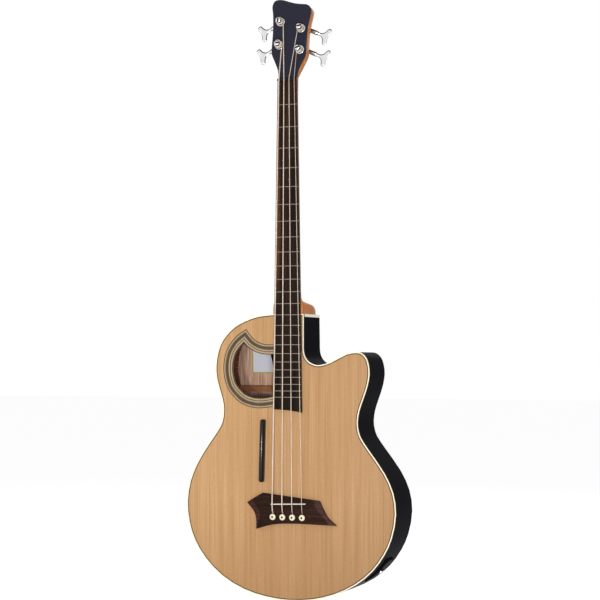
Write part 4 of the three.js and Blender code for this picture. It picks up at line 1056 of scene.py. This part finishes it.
def wing(s, around):
    """The wing, whose faces towards the headstock are painted darker, as a painted dark reflection."""
    rim = [Vector((WING_START + u * WING_REACH, v * WING_WIDTH)) for u, v in WING_HALF]
    rim += [Vector((WING_START + WING_FORK * WING_REACH, 0))] + [Vector((p.x, -p.y)) for p in reversed(rim)]
    layers = [(inset(rim[::-1], d), y) for d, y in WING_LAYERS]
    stack = [[Vector((p.x, -y, p.y)) for p in c] for c, y in reversed(layers)]
    stack += [[Vector((p.x, y, p.y)) for p in c] for c, y in layers]
    verts, faces = loft(stack, caps=False)
    top = stack[-1]
    last = len(verts) - len(top)
    for tri in tessellate_polygon([[Vector((p.x, p.z, 0)) for p in top]]):
        a, b, c = (top[i] for i in tri)
        up = (b.x - a.x) * (c.z - a.z) - (b.z - a.z) * (c.x - a.x) > 0
        faces.append(tuple(last + i for i in (reversed(tri) if up else tri)))
        faces.append(tuple(tri if up else reversed(tri)))
    o = s.part("key_wing", verts, faces, [CHROME, CHROME_PAINTED_REFLECTION], around, body=f"key_{s.name}", smooth=60)
    face_out(o)
    # Faces that turn towards the headstock get the painted dark reflection.
    for p in o.data.polygons:
        p.material_index = 1 if p.normal.x * s.hand < WING_SHADED else 0


def pin(s):
    """A turned bridge pin with a dark dot in its head."""
    head = BRIDGE_TOP + CLEAR
    profile = [(0, head - 20), (2.6, head - 20), (3.4, head), (6.4, head), (6.5, head + 1.5), (5.8, head + 2.9),
               (4.5, head + 3.75), (3.1, head + 4.15), (2.3, head + 4.2), (2.2, head + 3.6), (0, head + 3.6)]
    hole = Matrix.Translation((s.bridge_x, 0, PIN_Z)) @ Matrix.Rotation(pi, 4, "X")
    turn_into(f"pin_{s.name}", PINWHITE, fillet(profile, 0.4), hole, f"bridge_pin_{s.name}", slot="pin_and_saddle")
    verts, faces = lathe([(0, head + 3.62), (2.15, head + 3.62), (2.15, head + 3.72), (1.7, head + 3.82),
                          (0, head + 3.86)])
    build(f"pin_dot_{s.name}", verts, faces, DOT, hole, slot="gloss_black")


COURSES = [
    Course(-1.5, "e", 2.67, hand=-1, turns=1.75, up=0.423),
    Course(-0.5, "a", 2.16, hand=-1, turns=2, up=0.715),
    Course(0.5, "d", 1.65, hand=1, turns=2.75, up=0.618),
    Course(1.5, "g", 1.14, hand=1, turns=3.25, up=0.350),
]
for course in COURSES:
    string(course)
    winding(course)
    ferrule(course)
    post(course)
    key(course)
    dress(f"tuner_housing_{course.name}", CHROME, 0.7, segments=4)
    pin(course)

# Saddle: a narrow bar with a rounded crown, on the CAD bar's own slant

CROWN, CROWN_HALF, CROWN_PARTS = 1.3, 1.15, 8
CROWN_ENDS = ((0, 0.8), (0.012, 1), (0.5, 1), (0.988, 1), (1, 0.8))
saddle_low, saddle_high = box_in_mm("saddle")
rings = []
for share, size in CROWN_ENDS:
    x = saddle_low.x + (saddle_high.x - saddle_low.x) * share
    middle = saddle_at(x)
    ring = [Vector((x, saddle_high.y, middle + side * SADDLE_HALF)) for side in (-1, 1)]
    for k in range(CROWN_PARTS + 1):
        a = pi * k / CROWN_PARTS
        ring.append(Vector((x, saddle_low.y + (CROWN - CROWN * sin(a)) / size, middle + CROWN_HALF * size * cos(a))))
    rings.append(ring)
verts, faces = loft(rings)
crown = build("saddle_crown", verts, faces, BONE, smooth=40, slot="pin_and_saddle")
face_out(crown)
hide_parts("saddle")

# Pale strip round the corner beside the heel

STRIP_HEIGHT, STRIP_RUN = 5.7, 9
STRIP_FRONT, STRIP_BACK = 6.1, 0.05
STRIP_PROUD, STRIP_SUNK = -0.3, 0.8
corner = max(range(len(BODY)), key=lambda i: BODY[i].y * 10 + BODY[i].x)
strip_edges = []
for ring in (inset(BODY, STRIP_PROUD), inset(BODY, STRIP_SUNK)):
    after = ring[(corner + 1) % len(ring)]
    edge = [ring[corner].lerp(after, STRIP_RUN / (after - ring[corner]).length)]
    k = corner
    while ring[k].y > -NECK_JOINT - STRIP_HEIGHT:
        edge.append(ring[k])
        k -= 1
    above, below = ring[k + 1], ring[k]
    edge.append(above.lerp(below, (above.y + NECK_JOINT + STRIP_HEIGHT) / (above.y - below.y)))
    strip_edges.append(edge)
verts, faces = plate(strip_edges[0] + strip_edges[1][::-1], [], flat(STRIP_FRONT), behind_back(STRIP_BACK))
face_out(build("heel_strip", verts, faces, CREAM, slot="binding"))

# Strap buttons

HEEL_BUTTON_DOWN = 24
BUTTON = fillet([(0, -20), (2.2, -20), (2.2, 0.3), (7, 0.3), (7, 1.6), (5.2, 3.2), (4, 4.8), (4, 8.4), (5.2, 10.4),
                 (7, 11.5), (7, 13), (0, 13)], 0.5, 4)
tail_place = Matrix.Translation((0, back_plane(0, TAIL) / 2, TAIL)) @ Matrix.Rotation(radians(-90), 4, "X")
turn_into("button_tail", CHROME, BUTTON, tail_place, "strap_button_tail", slot="chrome")
heel_z = -NECK_JOINT - HEEL_BUTTON_DOWN
back_slope = math.atan2(DEPTH_GAIN, BODY_LENGTH)
heel_place = Matrix.Translation((0, back_plane(0, heel_z), heel_z)) @ Matrix.Rotation(back_slope, 4, "X")
turn_into("button_heel", CHROME, BUTTON, heel_place, "strap_button_heel", slot="chrome")

# Thumbrest: a rounded bar that leans with the lowest string

REST_SLANT = 3.7
REST_LOW, REST_HEIGHT, REST_PARTS = 0.3, 12, 24
REST_ENDS = ((0, .55), (.004, .72), (.012, .87), (.026, .96), (.045, 1), (.955, 1), (.974, .96), (.988, .87),
             (.996, .72), (1, .55))
rest_low, rest_high = box_in_mm("thumbrest")
rest_half = (rest_high.x - rest_low.x - REST_SLANT) / 2
rings = []
for share, size in REST_ENDS:
    middle = rest_high.x - rest_half - share * REST_SLANT
    z = rest_high.z - share * (rest_high.z - rest_low.z)
    ring = []
    for k in range(REST_PARTS + 1):
        a = pi * k / REST_PARTS
        x = -rest_half * size * math.copysign(abs(cos(a)) ** 0.8, cos(a))
        ring.append(Vector((middle + x, -REST_LOW - REST_HEIGHT * size * abs(sin(a)) ** 0.75, z)))
    rings.append(ring)
verts, faces = loft(rings)
rest = build("thumbrest_bar", verts, faces, SHINY, smooth=50, slot="gloss_black")
face_out(rest)
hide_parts("thumbrest")

# Floor, light and background

FULL = (1, 1, 1, 1)
FLOOR_COLOR = (0.86, 0.86, 0.86, 1)
FLOOR_GLOW = 0.5
FLOOR_REACH, FLOOR_GAP = 20, 0.02
AMBIENT, SHOWN = 0.55, 1.0


def shader(tree, kind, *sources, **values):
    """A node's first output, with the sources joined to its first inputs and the values set by name."""
    n = tree.nodes.new(kind)
    for source, socket in zip(sources, n.inputs):
        tree.links.new(source, socket)
    for name, value in values.items():
        n.inputs[name].default_value = value
    return n.outputs[0]


def seen(tree):
    """1 for the camera's own rays and for those that reach it by a reflection or through glass, else 0."""
    rays = tree.nodes.new("ShaderNodeLightPath")
    total = rays.outputs["Is Camera Ray"]
    for way in ("Is Glossy Ray", "Is Transmission Ray"):
        either = tree.nodes.new("ShaderNodeMath")
        either.operation = "MAXIMUM"
        tree.links.new(total, either.inputs[0])
        tree.links.new(rays.outputs[way], either.inputs[1])
        total = either.outputs[0]
    return total


floor_material = bpy.data.materials.new("floor")
floor_material.use_nodes = True
t = floor_material.node_tree
t.nodes.clear()
diffuse = shader(t, "ShaderNodeBsdfDiffuse", Color=FLOOR_COLOR)
glow = shader(t, "ShaderNodeEmission", Color=FULL, Strength=FLOOR_GLOW)
bright = shader(t, "ShaderNodeAddShader", diffuse, glow)
surface = shader(t, "ShaderNodeMixShader", seen(t), diffuse, bright)
t.links.new(surface, t.nodes.new("ShaderNodeOutputMaterial").inputs["Surface"])
floor_mesh = bpy.data.meshes.new("floor")
floor_corners = ((-1, -1), (1, -1), (1, 1), (-1, 1))
floor_mesh.from_pydata([(x * FLOOR_REACH, y * FLOOR_REACH, cad_low.z - FLOOR_GAP) for x, y in floor_corners], [],
                       [(0, 1, 2, 3)])
floor_mesh.materials.append(floor_material)
floor = bpy.data.objects.new("floor", floor_mesh)
bpy.context.scene.collection.objects.link(floor)
floor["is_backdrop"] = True

world = bpy.data.worlds.new("world")
bpy.context.scene.world = world
world.use_nodes = True
w = world.node_tree
w.nodes.clear()
ambient = shader(w, "ShaderNodeBackground", Color=FULL, Strength=AMBIENT)
shown = shader(w, "ShaderNodeBackground", Color=FULL, Strength=SHOWN)
background = shader(w, "ShaderNodeMixShader", seen(w), ambient, shown)
w.links.new(background, w.nodes.new("ShaderNodeOutputWorld").inputs["Surface"])


def lamp(name, place_at, target, size, power):
    """A round lamp, in metres and watts, that points at its target."""
    data = bpy.data.lights.new(name, "AREA")
    data.shape = "DISK"
    data.size = size
    data.energy = power
    o = bpy.data.objects.new(name, data)
    bpy.context.scene.collection.objects.link(o)
    o.location = place_at
    o.rotation_mode = "QUATERNION"
    o.rotation_quaternion = (Vector(target) - Vector(place_at)).to_track_quat("-Z", "Y")


lamp("key", (0.3, -3.1, -0.85), (0, 0, -0.7), 0.3, 30)
lamp("front", (1.4, -3.0, -0.9), (0, 0, -0.7), 0.5, 40)
lamp("fill", (-2.3, -1.6, 0.2), (0, 0, -0.6), 1.6, 8)
lamp("back", (0.5, 2.4, 1.0), (0, 0, -0.5), 1.4, 12)

bpy.context.scene.view_settings.view_transform = "Standard"

low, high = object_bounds()
